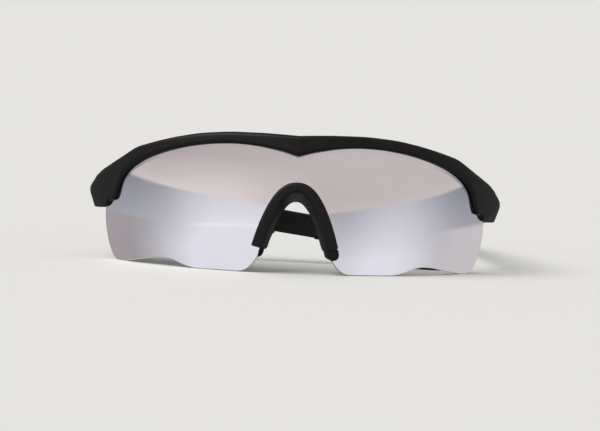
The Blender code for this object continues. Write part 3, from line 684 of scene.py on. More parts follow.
def moulded_group():
    """Moulded plastic: eroded grain as height, slow changes of tone, and edges that handling has shone."""
    inputs = (
        ("Colour", "NodeSocketColor", (0.01, 0.01, 0.01, 1.0)),
        ("Lighter", "NodeSocketColor", (0.02, 0.02, 0.02, 1.0)),
        ("Roughness", "NodeSocketFloat", 0.4),
        ("Edge Shine", "NodeSocketFloat", 0.1),
        ("Grain Scale", "NodeSocketFloat", 3200.0),
    )
    outputs = (("Colour", "NodeSocketColor"), ("Roughness", "NodeSocketFloat"), ("Height", "NodeSocketFloat"))
    group, given, result = new_group("moulded surface", inputs, outputs)
    grain = noise(group, scale=given.outputs["Grain Scale"], detail=2.0)
    slow = remap(group, noise(group, scale=70, detail=2.0), 0.35, 0.65, 0.0, 0.5)
    speck = remap(group, noise(group, scale=900, detail=2.0), 0.52, 0.72, 0.0, 0.5)
    turned_edge = group.nodes.new("ShaderNodeAttribute")
    turned_edge.attribute_name = "edge"
    worn = remap(group, turned_edge.outputs["Fac"], 0.004, 0.020, 0.0, 1.0)
    tones = given.outputs["Colour"], given.outputs["Lighter"]
    base = blend_colours(group, maths(group, "ADD", slow, speck), *tones)
    colour = blend_colours(group, worn, base, given.outputs["Lighter"])
    uneven = maths(group, "MULTIPLY_ADD", slow, 0.10, given.outputs["Roughness"])
    shine = maths(group, "MULTIPLY", worn, given.outputs["Edge Shine"])
    group.links.new(colour, result.inputs["Colour"])
    group.links.new(maths(group, "SUBTRACT", uneven, shine), result.inputs["Roughness"])
    group.links.new(grain, result.inputs["Height"])
    return group


moulded = moulded_group()


def add_relief(tree, shader, height, distance):
    """Gives a shader a relief: a height from 0 to 1, times a distance in metres."""
    bump = tree.nodes.new("ShaderNodeBump")
    bump.inputs["Distance"].default_value = distance
    tree.links.new(height, bump.inputs["Height"])
    tree.links.new(bump.outputs["Normal"], shader.inputs["Normal"])


def moulded_material(name, colours, roughness, shine, grain, relief, specular=0.20):
    """A plastic or rubber finish from the moulded surface group, with its relief in metres."""
    made, tree, shader = new_material(name, roughness)
    values = {"Colour": colours[0], "Lighter": colours[1], "Roughness": roughness}
    node = use_group(tree, moulded, {**values, "Edge Shine": shine, "Grain Scale": grain})
    tree.links.new(node.outputs["Colour"], shader.inputs["Base Color"])
    tree.links.new(node.outputs["Roughness"], shader.inputs["Roughness"])
    add_relief(tree, shader, node.outputs["Height"], relief)
    shader.inputs["Specular IOR Level"].default_value = specular
    return made


NYLON_COLOURS = ((0.0062, 0.0053, 0.0050), (0.0095, 0.0084, 0.0080))
satin_nylon = moulded_material(
    "satin black nylon", NYLON_COLOURS, roughness=0.40, shine=0.10, grain=3400.0, relief=0.000006
)
browline.data.materials.append(satin_nylon)
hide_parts("front_frame")
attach(browline, "front")

# Hinge screws and inserts
# A slotted steel screw comes up through the lower lug and the arm's knuckle into a turned brass sleeve that is
# pressed into the upper lug. Its head sits in a counterbore, flush with the underside.

SCREW_HEAD_LOW = LUG_LOW + FIT_GAP
SCREW_TIP = LUG_HIGH - 2 * FIT_GAP
SLOT_WIDTH = 0.0004
SLOT_DEPTH = 0.0004
SCREW_EASE = 0.00012
SHAFT_START_SHARE = 0.02
THREAD_START_SHARE = 0.45
THREAD_RUN_IN_SHARE = 0.05
THREAD_PITCH = 0.00035
THREAD_DEPTH = 0.00008
INSERT_EASE = 0.0001
KNURL_COUNT = 24
KNURL_DEPTH = 0.00005
RING_SCALES = (400, 400, 9000)
RING_RELIEF = 0.000004


def screw_grid(axis, rows=10, sides=40):
    """Screw from head to tip: a head with eased rims, then a shaft with some rows of points for each pitch.

    Where it is threaded, the shaft's radius follows a cosine that swings once for each turn and each pitch.
    """
    turn = np.linspace(0, 2 * math.pi, sides, endpoint=False)
    rim = barrel(SCREW_HEAD_RADIUS, 0.0, SCREW_HEAD_HEIGHT, SCREW_EASE)
    head = ((0.0, 0.0), *rim, (SCREW_RADIUS, SCREW_HEAD_HEIGHT))
    radius, z = (np.repeat(part[:, None], sides, axis=1) for part in np.array(head).T)
    length = SCREW_TIP - SCREW_HEAD_LOW - SCREW_HEAD_HEIGHT
    up = np.linspace(SHAFT_START_SHARE, 1, int(rows * length / THREAD_PITCH))[:, None]
    height = SCREW_HEAD_HEIGHT + up * length
    cut = THREAD_DEPTH * (0.5 - 0.5 * np.cos(2 * math.pi * height / THREAD_PITCH - turn))
    thread = SCREW_RADIUS - cut * np.clip((up - THREAD_START_SHARE) / THREAD_RUN_IN_SHARE, 0, 1)
    radius = np.concatenate([radius, thread, 0 * turn[None, :]])
    z = np.concatenate([z, np.broadcast_to(height, thread.shape), np.full((1, sides), height[-1])])
    return circles(axis, radius, SCREW_HEAD_LOW + z, turn)


def insert_grid(axis, sides=96):
    """Sleeve: its outside is knurled by a cosine of the turn, and its mouth and foot are eased."""
    turn = np.linspace(0, 2 * math.pi, sides, endpoint=False)
    top, low, ease = LUG_HIGH - FIT_GAP, LUG_HIGH - FIT_GAP - INSERT_HEIGHT, INSERT_EASE
    inner, outer = BORE_RADIUS, INSERT_RADIUS
    rings = [(inner, low), (outer - ease, low), (outer, low + ease), (outer, top - 2 * ease)]
    rings += [(outer - ease, top), (inner + ease, top), (inner, top - ease)]
    radius, z = np.array(rings).T[:, :, None]
    knurl = KNURL_DEPTH * (0.5 - 0.5 * np.cos(KNURL_COUNT * turn))
    return circles(axis, radius - np.where(radius > outer - 0.5 * ease, knurl, 0.0), z, turn)


def turned_metal(name, colours, roughness):
    """Turned metal: fine rings about the height, with slow changes of tone."""
    made, tree, shader = new_material(name, roughness, metallic=1.0)
    tone = remap(tree, noise(tree, scale=600, detail=3.0), 0.35, 0.65, 0.0, 1.0)
    tree.links.new(blend_colours(tree, tone, *colours), shader.inputs["Base Color"])
    stretch = tree.nodes.new("ShaderNodeMapping")
    stretch.inputs["Scale"].default_value = RING_SCALES
    tree.links.new(tree.nodes.new("ShaderNodeTexCoord").outputs["Object"], stretch.inputs["Vector"])
    rings = noise(tree, scale=1.0, detail=2.0, where=stretch.outputs["Vector"])
    add_relief(tree, shader, rings, RING_RELIEF)
    add_handling(tree, shader, roughness, smudge=0.10)
    return made


STEEL_COLOURS = ((0.55, 0.55, 0.56), (0.40, 0.40, 0.41))
BRASS_COLOURS = ((0.72, 0.52, 0.25), (0.58, 0.40, 0.17))
steel = turned_metal("turned steel", STEEL_COLOURS, roughness=0.26)
brass = turned_metal("turned brass", BRASS_COLOURS, roughness=0.28)
for side, axis in zip(("left", "right"), hinge_axes):
    screw = skin("screw_" + side, screw_grid(axis))
    reach, half = SCREW_HEAD_RADIUS + OVERRUN, SLOT_WIDTH / 2
    corners = np.array([(-reach, -half), (reach, -half), (reach, half), (-reach, half)]) + axis
    levels = np.array([SCREW_HEAD_LOW - OVERRUN, SCREW_HEAD_LOW + SLOT_DEPTH])
    slot_box = np.concatenate([np.tile(corners, (2, 1)), np.repeat(levels, 4)[:, None]], axis=1)
    carve(screw, [(skin("slot", slot_box.reshape(2, 4, 3)), "DIFFERENCE")])
    shade(screw)
    screw.data.materials.append(steel)
    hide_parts("hinge_screw_" + side)
    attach(screw, "front")
    sleeve = skin("brass_sleeve_" + side, insert_grid(axis), joined=True)
    shade(sleeve)
    sleeve.data.materials.append(brass)
    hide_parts("hinge_insert_" + side)
    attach(sleeve, "front")

# Arms
# Each arm is one springy nylon moulding that tapers from the end of the browline. A knuckle at its root turns
# between the lugs, and a thin tang at its far end is hidden in the ear grip. The right arm is drawn folded.

ARM_LENGTH = 0.1180
ARM_INNER_OFFSET = 0.0008
ARM_BOW = 0.0085
ARM_BOW_POWER = 2.4
EAR_DIP = 0.0062
TIP_LEVEL = 0.0011
EAR_START_SHARE = 0.62
ARM_THICKNESS = HINGE_INSET + ARM_INNER_OFFSET
ARM_THICKNESS_SHARES = ((0.0, 1.0), (0.08, 0.86), (0.18, 0.72), (0.34, 0.64), (0.60, 0.59), (1.0, 0.56))
ARM_HEIGHT_SHARES = ((0.0, 1.0), (0.08, 0.95), (0.18, 0.88), (0.34, 0.81), (0.60, 0.76), (1.0, 0.74))
ARM_BEVEL_SHARES = ((0.0, 1.0), (0.10, 0.72), (0.25, 0.45), (0.60, 0.36), (1.0, 0.36))
ARM_EASE_SHARE = 0.12
ARM_RADII = (0.0004, 0.0007, 0.0007, 0.0004, 0.0006, 0.0008, 0.0008, 0.0006)
GRIP_START_SHARE = 0.625
TANG_THICKNESS = 0.0018
TANG_HEIGHT = 0.0040
TANG_END_SHARE = 0.950
TANG_BEVEL_SHARE = 0.36


def arm_line(share):
    """Inner face and middle height of the arm: a power bow inwards, and a slope with a squared dip."""
    middle = (END_LOW + END_HIGH) / 2
    dip = EAR_DIP * (np.maximum(share - EAR_START_SHARE, 0) / (1 - EAR_START_SHARE)) ** 2
    inner = -ARM_INNER_OFFSET - ARM_BOW * share**ARM_BOW_POWER
    return inner, middle - (middle - EAR_DIP - TIP_LEVEL) * share - dip


def arm_size(share):
    """Thickness and height of the arm, as shares of those at its root."""
    return ARM_THICKNESS * follow(ARM_THICKNESS_SHARES, share), END_HEIGHT * follow(ARM_HEIGHT_SHARES, share)


def arm_loops(run, inner, middle, thickness, height, bevel):
    """Eight-cornered sections of an arm: bevels above and below the outer face, eased edges on the inside."""
    upper_in = thickness * bevel * UPPER_BEVEL_DEPTH / ARM_THICKNESS
    lower_in = thickness * bevel * LOWER_BEVEL_DEPTH / ARM_THICKNESS
    upper_down = height * bevel * UPPER_BEVEL / END_HEIGHT
    lower_up = height * bevel * LOWER_BEVEL / END_HEIGHT
    outer, ease = inner + thickness, thickness * ARM_EASE_SHARE
    top, low = middle + height / 2, middle - height / 2
    x = (outer - lower_in, outer, outer, outer - upper_in, inner + ease, inner, inner, inner + ease)
    z = (low, low + lower_up, top - upper_down, top, top, top - ease, low + ease, low)
    x, z = np.stack(np.broadcast_arrays(*x), axis=1), np.stack(np.broadcast_arrays(*z), axis=1)
    return np.stack([x, np.broadcast_to(run[:, None], x.shape), z], axis=2)


def hung(points, side):
    """Arm coordinates, with the axis at 0 and the outside at +x, carried to a hinge.

    The left arm keeps its direction. The right one is mirrored and then turned a quarter turn to lie folded.
    """
    x, y, z = np.moveaxis(points, -1, 0)
    if side == "left":
        return np.stack([HINGE_X + x, HINGE_Y + y, z], axis=-1)
    return np.stack([y - HINGE_X, HINGE_Y + x, z], axis=-1)


def arm_sections(fine=161, tang=41):
    """Sections of the arm up to its shoulder, and of the tang beyond it."""
    shoulder = GRIP_START_SHARE - FIT_GAP / ARM_LENGTH
    share = np.linspace(0, shoulder, fine)
    run = np.maximum(share * ARM_LENGTH, FIT_GAP)
    arm = arm_loops(run, *arm_line(share), *arm_size(share), follow(ARM_BEVEL_SHARES, share))
    share = np.linspace(shoulder, TANG_END_SHARE, tang)
    inner, middle = arm_line(share)
    inner = inner + (arm_size(share)[0] - TANG_THICKNESS) / 2
    thin = arm_loops(share * ARM_LENGTH, inner, middle, TANG_THICKNESS, TANG_HEIGHT, TANG_BEVEL_SHARE)
    return eased(np.concatenate([arm, thin]), ARM_RADII)


knuckle_steps = (
    (((ROOM_RADIUS, END_LOW - OVERRUN), (ROOM_RADIUS, KNUCKLE_LOW)), "DIFFERENCE"),
    (((ROOM_RADIUS, KNUCKLE_HIGH), (ROOM_RADIUS, END_HIGH + OVERRUN)), "DIFFERENCE"),
    (barrel(LUG_RADIUS, KNUCKLE_LOW, KNUCKLE_HIGH, LUG_EDGE / 2), "UNION"),
    (((BORE_RADIUS, END_LOW - OVERRUN), (BORE_RADIUS, END_HIGH + OVERRUN)), "DIFFERENCE"),
)
for side, axis in zip(("left", "right"), hinge_axes):
    arm = skin("side_arm_" + side, hung(arm_sections(), side))
    carve(arm, [(turned("knuckle_tool", axis, profile), kind) for profile, kind in knuckle_steps])
    mark_edges(arm)
    shade(arm)
    arm.data.materials.append(satin_nylon)
    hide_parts("temple_arm_" + side)
    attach(arm, "arm_" + side)

# Ear grips
# Soft rubber sleeves are moulded over the tangs and stand a little proud of the arms. Fine ribs run round the
# side that touches the head, and a flat under each tip rests on the table.

GRIP_END_THICKNESS = 0.0044
GRIP_PROUD = 0.0004
GRIP_CORNER_POWER = 0.60
SOCKET_CORNER_POWER = 0.40
TIP_TAPER_SHARES = ((0.0, 1.0), (0.80, 1.0), (0.92, 0.88), (0.975, 0.66), (1.0, 0.42))
TIP_ROUND = 0.0010
MOUTH_ROUND = 0.0003
RIB_PITCH = 0.0022
RIB_DEPTH = 0.00022
RIB_SIDE = (-0.9, -0.35)
RIB_SIDE_START = 0.15
RIB_SIDE_FADE = 0.35
RIB_STRETCH_SHARES = ((0.0, 0.0), (0.14, 0.0), (0.20, 1.0), (0.74, 1.0), (0.80, 0.0), (1.0, 0.0))
GRIP_CREASE = math.radians(50)


def grip_loops(run, x, z, half_x, half_z, power, carved=0.0, sides=64):
    """Superellipse sections: a cosine and a sine of the turn, each raised to the power, and kept above z = 0.

    The ribs are grooves, the square of a cosine of the run, on the inner and lower part of the section.
    """
    turn = 2 * math.pi * (np.arange(sides) + 0.5) / sides
    across = np.sign(np.cos(turn)) * np.abs(np.cos(turn)) ** power
    up = np.sign(np.sin(turn)) * np.abs(np.sin(turn)) ** power
    facing = RIB_SIDE[0] * np.cos(turn) + RIB_SIDE[1] * np.sin(turn)
    facing = np.clip((facing - RIB_SIDE_START) / RIB_SIDE_FADE, 0, 1)
    groove = np.broadcast_to(carved, run.shape) * np.cos(math.pi * run / RIB_PITCH) ** 2
    inset = groove[:, None] * facing
    px = x[:, None] + (half_x[:, None] - inset) * across
    pz = z[:, None] + (half_z[:, None] - inset) * up
    return np.stack([px, np.broadcast_to(run[:, None], px.shape), np.maximum(pz, 0)], axis=2)


def grip_sections(stations=221, hidden=21, rounds=8):
    """Sleeve from the foot of its socket out to its mouth, round the lip and along to the closed tip."""
    end_share = TANG_END_SHARE + FIT_GAP / ARM_LENGTH
    share = np.linspace(end_share, GRIP_START_SHARE, hidden)
    inner, middle = arm_line(share)
    x = inner + arm_size(share)[0] / 2
    half_x = np.full(share.shape, TANG_THICKNESS / 2 + FIT_GAP)
    half_z = np.full(share.shape, TANG_HEIGHT / 2 + FIT_GAP)
    socket = grip_loops(share * ARM_LENGTH, x, middle, half_x, half_z, SOCKET_CORNER_POWER)

    start, stop = GRIP_START_SHARE * ARM_LENGTH - FIT_GAP, ARM_LENGTH
    turn = np.linspace(0, math.pi / 2, rounds + 1)
    mouth = start + MOUTH_ROUND * (1 - np.cos(turn))
    length = np.linspace(start + MOUTH_ROUND, stop - TIP_ROUND, stations)
    tip = stop - TIP_ROUND + TIP_ROUND * np.sin(turn)
    run = np.concatenate([mouth, length[1:-1], tip])
    share = run / ARM_LENGTH
    along = np.clip((share - GRIP_START_SHARE) / (1 - GRIP_START_SHARE), 0, 1)
    (inner, middle), (thickness, height) = arm_line(share), arm_size(share)
    closing = follow(TIP_TAPER_SHARES, along) * np.sqrt(1 - np.clip((run - tip[0]) / TIP_ROUND, 0, 1) ** 2)
    wide = thickness + (GRIP_END_THICKNESS - thickness) * along
    lip = MOUTH_ROUND * (1 - np.sqrt(1 - np.clip((mouth[-1] - run) / MOUTH_ROUND, 0, 1) ** 2))
    half_x = (wide / 2 + GRIP_PROUD) * closing - lip
    half_z = (height / 2 + GRIP_PROUD) * closing - lip
    carved = RIB_DEPTH * follow(RIB_STRETCH_SHARES, along)
    sleeve = grip_loops(run, inner + thickness / 2, middle, half_x, half_z, GRIP_CORNER_POWER, carved)
    return np.concatenate([socket, sleeve])


RUBBER_COLOURS = ((0.0072, 0.0068, 0.0070), (0.0115, 0.0108, 0.0112))
soft_rubber = moulded_material(
    "matt black rubber", RUBBER_COLOURS, roughness=0.62, shine=0.08, grain=5200.0, relief=0.000012
)
for side in ("left", "right"):
    grip = skin("rubber_ear_grip_" + side, hung(grip_sections(), side))
    mark_edges(grip)
    shade(grip, GRIP_CREASE)
    grip.data.materials.append(soft_rubber)
    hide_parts("ear_grip_" + side)
    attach(grip, "arm_" + side)

# Nose clip
# A nylon clip is pushed up round the lens's cut-out. A band shows in front of the lens, and a saddle behind it
# spreads the load on the nose. Two square posts behind its legs hold the pads.

BAND_OUTER = 0.0028
BAND_OUTER_SHARES = ((0.0, 0.71), (0.40, 0.78), (1.0, 1.0))
BAND_INNER = 0.0013
BAND_FOOT_SHARE = 0.8667
BAND_EASE = 0.0006
CLIP_BACK = 0.0036
RIM_DROP = 0.0051
RIM_DEPTH_SHARE = 0.649
RIM_WIDTH_SHARE = 0.769
RIM_POWER = 2.2
SADDLE_LENGTH = 0.0112
SADDLE_LENGTH_SHARES = ((0.0, 1.0), (0.28, 0.97), (0.42, 0.62), (0.50, 0.44), (1.0, 0.42))
SADDLE_WALL = 0.0015
SADDLE_SAG_SHARE = 0.70
CLIP_STATIONS = 241
ARCH_SPACING_POWER = 0.7
BAND_RADII = (0.0003, 0.0005, 0.0005, 0.0003)
SLOT_RADII = (0.0001, 0.0001, 0.0001, 0.0001)
SADDLE_RADII = (0.0003, 0.0003, 0.0004, 0.0004, 0.0020)
POST_LEVEL_SHARE = 0.569
POST_HEIGHT = 0.0022
POST_WIDTH = 0.0014
POST_LENGTH = 0.0034
POST_EDGE = 0.0002


def arch_place(share, top, depth, half_width, power):
    """Run, height and outward direction on a power curve over the nose, at -1 to 1 from foot to foot."""
    side = np.where(share < 0, -1.0, 1.0)
    reach = np.abs(share) ** ARCH_SPACING_POWER
    slope = power * depth / half_width * reach ** (power - 1)
    size = np.hypot(slope, 1.0)
    return side * half_width * reach, top - depth * reach**power, side * slope / size, 1.0 / size


def arch_run(share):
    """Distance of the cut-out's edge from the centre at a share of its depth."""
    return ARCH_HALF_WIDTH * share ** (1 / ARCH_POWER)


def band_place(share):
    """The band's line: the edge of the cut-out, down to the band's foot."""
    return arch_place(share, ARCH_TOP, ARCH_DEPTH * BAND_FOOT_SHARE, arch_run(BAND_FOOT_SHARE), ARCH_POWER)


def clip_loops(share):
    """Sections of the clip: the band, the slot that takes the lens, the flange behind it, and the saddle."""
    run, z, out_run, out_z = band_place(share)
    depth, width = ARCH_DEPTH * RIM_DEPTH_SHARE, ARCH_HALF_WIDTH * RIM_WIDTH_SHARE
    rim_run, rim_z, rim_out_run, rim_out_z = arch_place(share, ARCH_TOP - RIM_DROP, depth, width, RIM_POWER)
    outer = BAND_OUTER * follow(BAND_OUTER_SHARES, np.abs(share))
    length = SADDLE_LENGTH * follow(SADDLE_LENGTH_SHARES, np.abs(share))
    behind = -LENS_THICKNESS - FIT_GAP
    edge = (
        (-BAND_INNER, FRAME_FACE - BAND_EASE),
        (-BAND_INNER + BAND_EASE, FRAME_FACE),
        (outer - BAND_EASE, FRAME_FACE),
        (outer, FRAME_FACE - BAND_EASE),
        (outer, FIT_GAP),
        (-FIT_GAP, FIT_GAP),
        (-FIT_GAP, behind),
        (outer, behind),
        (outer, -CLIP_BACK),
        (0.0, -CLIP_BACK),
    )
    places = [(run + offset * out_run, z + offset * out_z, out + 0 * run) for offset, out in edge]
    places.append((rim_run + SADDLE_WALL * rim_out_run, rim_z + SADDLE_WALL * rim_out_z, -length))
    places.append((rim_run, rim_z, -length))
    front_run, front_z, front_out = places[0]
    sag_run = front_run + (rim_run - front_run) * SADDLE_SAG_SHARE
    sag_z = front_z + (rim_z - front_z) * SADDLE_SAG_SHARE
    places.append((sag_run, sag_z, (front_out - length) / 2))
    return wrap_point(*(np.stack(part, axis=1) for part in zip(*places)))


def post_box(name, side, wall, ends, edge=0.0):
    """A square bar behind one leg of the clip, from one depth to another, with small eased edges."""
    level = ARCH_TOP - ARCH_DEPTH * POST_LEVEL_SHARE
    half_run, half_z = POST_WIDTH / 2 + wall, POST_HEIGHT / 2 + wall
    run = side * arch_run(POST_LEVEL_SHARE) + half_run * np.array([-1, 1, 1, -1])
    z = level + half_z * np.array([-1, -1, 1, 1])
    bar = wrap_point(run[None, :], z[None, :], np.array(ends)[:, None])
    return skin(name, eased(bar, (edge,) * 4))


leg_back = -SADDLE_LENGTH * SADDLE_LENGTH_SHARES[-1][1]
clip_radii = BAND_RADII + SLOT_RADII + SADDLE_RADII
clip = skin("nose_clip_moulding", eased(clip_loops(np.linspace(-1, 1, CLIP_STATIONS)), clip_radii))
post_ends = (SADDLE_WALL / 2 - CLIP_BACK, leg_back - POST_LENGTH)
carve(clip, [(post_box("post", side, 0, post_ends, POST_EDGE), "UNION") for side in (1, -1)])
mark_edges(clip)
shade(clip)
CLIP_COLOURS = ((0.0088, 0.0078, 0.0077), (0.0132, 0.0119, 0.0116))
clip_nylon = moulded_material(
    "matt black nylon", CLIP_COLOURS, roughness=0.46, shine=0.08, grain=3800.0, relief=0.000008
)
clip.data.materials.append(clip_nylon)
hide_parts("nose_clip")
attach(clip, "front")

# Nose pads
# Two soft rubber plates are pushed on the posts and bear on the sides of the nose. A toe below each carries on
# the line of the band: the left one laps in front of the lens, and the right one is tucked behind it.

SOCKET_WALL = 0.0010
PAD_TOP_SHARE = 0.449
PAD_FOOT_SHARE = 0.905
PAD_TOP_WIDTH_SHARE = 0.47
PAD_FOOT_WIDTH_SHARE = 0.826
PAD_DEPTH = 0.0080
PAD_THICKNESS = 0.0014
PAD_SPLAY = 0.0022
PAD_SPLAY_SHARES = ((0.0, 0.25), (0.45, 0.45), (1.0, 1.0))
PAD_DEPTH_SHARES = ((0.0, 0.45), (0.12, 0.80), (0.35, 1.0), (0.80, 1.0), (0.93, 0.85), (1.0, 0.60))
TOE_LENGTH = 0.0034
TOE_SHARES = ((0.0, 1.0), (0.40, 1.0), (0.75, 0.86), (0.92, 0.62), (1.0, 0.36))
TOE_OUTSIDE_WIDTH = 0.0026
TOE_INSIDE_WIDTH = 0.0012
TOE_TUCKED_WIDTH = 0.0009
PAD_VOXEL = 0.00016
PAD_SOFTENING = 0.5
PAD_SOFTENING_TIMES = 5
PAD_CREASE = math.radians(60)
LENS_SPACE_SHARE = 0.4
LENS_SPACE_COUNTS = (31, 21, 11)


def pad_loops(side, rows=31, rounds=8):
    """Level sections of the pad: a plate with half-round edges that opens out towards the face."""
    share = np.linspace(0, 1, rows)[:, None]
    z = ARCH_TOP - ARCH_DEPTH * (PAD_FOOT_SHARE + (PAD_TOP_SHARE - PAD_FOOT_SHARE) * share)
    width = PAD_FOOT_WIDTH_SHARE + (PAD_TOP_WIDTH_SHARE - PAD_FOOT_WIDTH_SHARE) * share
    depth = PAD_DEPTH * follow(PAD_DEPTH_SHARES, share)
    splay = PAD_SPLAY * follow(PAD_SPLAY_SHARES, share) * depth / PAD_DEPTH
    half = PAD_THICKNESS / 2
    front_run, front_out = ARCH_HALF_WIDTH * width + half, leg_back - FIT_GAP - half
    long_run, long_out = splay, PAD_THICKNESS - depth
    size = np.hypot(long_run, long_out)
    along_run, along_out = long_run / size, long_out / size
    turn = np.linspace(0, math.pi, rounds + 1)[None, :]
    run, out = [], []
    for step, start in ((0, math.pi / 2), (1, -math.pi / 2)):
        there = np.cos(turn + start), np.sin(turn + start)
        run.append(front_run + step * long_run + half * (there[0] * along_run + there[1] * along_out))
        out.append(front_out + step * long_out + half * (there[0] * along_out - there[1] * along_run))
    return wrap_point(side * np.concatenate(run, axis=1), z, np.concatenate(out, axis=1))


def toe_loops(side, inside, outside, front, back, rows=17):
    """Sections of the toe along the band's line below its foot, narrower towards the end."""
    run, z, out_run, out_z = band_place(np.float64(1.0))
    step = np.linspace(0, 1, rows)[:, None]
    below = FIT_GAP + TOE_LENGTH * step
    middle, half = (outside - inside) / 2, (outside + inside) / 2 * follow(TOE_SHARES, step)
    offset = middle + half * np.array([[-1, 1, 1, -1]])
    low_run, low_z = run + below * out_z + offset * out_run, z - below * out_run + offset * out_z
    return wrap_point(side * low_run, low_z, np.array([[front, front, back, back]]))


def lens_space():
    """The space that the lens needs: its sections with the fit gap all round."""
    stops = (0, ARCH_HALF_WIDTH - FIT_GAP, FLARE_END, LENS_SPACE_SHARE * LENS_END)
    run = mirrored(stops, LENS_SPACE_COUNTS)
    low, high = lens_edges(run, FIT_GAP)
    z = np.stack([low, high, high, low], axis=1)
    front, back = FIT_GAP, -LENS_THICKNESS - FIT_GAP
    return skin("lens_space", wrap_point(run[:, None], z, np.array([[front, front, back, back]])))


for side, label in ((1, "left"), (-1, "right")):
    pad = skin("rubber_nose_pad_" + label, pad_loops(side))
    seat, foot = leg_back - FIT_GAP, leg_back - POST_LENGTH - FIT_GAP
    block = post_box("block", side, FIT_GAP + SOCKET_WALL, (seat, foot - SOCKET_WALL))
    inside, front = TOE_INSIDE_WIDTH, FRAME_FACE
    if label == "right":
        inside, front = TOE_TUCKED_WIDTH, -LENS_THICKNESS - 2 * FIT_GAP
    toe = skin("toe", toe_loops(side, inside, TOE_OUTSIDE_WIDTH, front, seat - PAD_THICKNESS))
    socket = post_box("socket", side, FIT_GAP, (seat + OVERRUN, foot))
    carve(pad, ((block, "UNION"), (toe, "UNION"), (socket, "DIFFERENCE"), (lens_space(), "DIFFERENCE")))
    remesh = pad.modifiers.new("even faces", "REMESH")
    remesh.mode = "VOXEL"
    remesh.voxel_size = PAD_VOXEL
    soften = pad.modifiers.new("soft edges", "SMOOTH")
    soften.factor = PAD_SOFTENING
    soften.iterations = PAD_SOFTENING_TIMES
    carve(pad, ())
    mark_edges(pad)
    shade(pad, PAD_CREASE)
    pad.data.materials.append(soft_rubber)
    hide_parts("nose_pad_" + label)
    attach(pad, "front")

# Floor, light and camera
# A flat pale floor under one broad lamp, high on the camera's left, and an even room that is dark beneath.
# Polished things see that room as a bright bench below a slanting edge, with a warmer grey studio above it.

FLOOR_RADIUS = 4.0
FLOOR_COLOUR = (0.84, 0.83, 0.80)
ROOM_LEVEL = 0.44
UNDER_LEVEL = 0.07
UNDER_FADE = 0.12
KEY_LEVEL = 0.50
KEY_AZIMUTH = math.radians(-55)
KEY_ELEVATION = math.radians(50)
KEY_WIDTH = math.radians(45)
# Directions are in degrees, with azimuth 0 towards the camera and +90 towards +X
TABLE, TABLE_TONE = (-30.0, -40.0), (0.58, 0.57, 0.56)
UNDER, UNDER_TONE = (-52.0, -68.0), (0.08, 0.08, 0.08)
BEHIND, BEHIND_TONE = (120.0, 145.0), (0.20, 0.20, 0.20)
BENCH_EDGE_LOW, BENCH_EDGE_RISE = -7.3, 9.0
BENCH_EDGE_AZIMUTHS = (-98.0, 16.0, 97.0)
BENCH_EDGE_SOFTNESS = 0.4
BENCH_TONES = ((0.27, 0.28, 0.32), (0.92, 0.905, 0.99))
BENCH_SHARES = (0.0, 0.10, 0.24, 0.64, 0.82, 0.82, 0.82, 0.56, 0.22, 0.53, 0.60, 0.46, 0.18, 0.0)
BENCH_DEPTH, BENCH_DEPTH_SHARE = -18.0, 0.45
LEDGE_ELEVATION, LEDGE_FADE = -12.2, (0.2, 1.0)
LEDGE_AZIMUTH, LEDGE_ENDS = -33.0, (12.0, 24.0)
LEDGE_SHARE, LEDGE_TONE = 0.7, (1.04, 1.02, 1.03)
WALL_AZIMUTHS, WALL_TONES = (-90.0, 90.0), ((0.44, 0.40, 0.42), (0.70, 0.66, 0.68))
WALL_STARTS, WALL_FADE = (70.0, 95.0), (-0.8, 0.4)
WALL_HIGH, WALL_SLANT = -8.5, 0.10
STUDIO_SHARE, STUDIO_TONES = 0.46, ((0.50, 0.455, 0.45), (0.84, 0.755, 0.745))
STUDIO_END_AZIMUTHS, STUDIO_END_SHARE = (-40.0, -75.0), -0.25
STUDIO_RIM_HEIGHT, STUDIO_RIM_SHARE = 3.0, 0.12
GLOW_AZIMUTHS = (10.0, -35.0)
GLOW_ELEVATIONS, GLOW_SHARES = (0.0, 11.0), (0.55, -0.20)


def floor_disc(name, radius, sides=128):
    """A flat disc about x = y = 0, as one face with its rim on a circle."""
    turn = np.linspace(0, 2 * math.pi, sides, endpoint=False)
    mesh = bpy.data.meshes.new(name)
    points = np.stack([radius * np.cos(turn), radius * np.sin(turn), 0 * turn], axis=1)
    mesh.from_pydata(points, [], [list(range(sides))])
    made = bpy.data.objects.new(name, mesh)
    bpy.context.scene.collection.objects.link(made)
    return made


floor = floor_disc("floor", FLOOR_RADIUS)
floor_finish, _, floor_shader = new_material("pale floor", 1.0)
floor_shader.inputs["Base Color"].default_value = (*FLOOR_COLOUR, 1.0)
floor_shader.inputs["Specular IOR Level"].default_value = 0.0
floor.data.materials.append(floor_finish)
floor.visible_glossy = False
floor.visible_diffuse = False


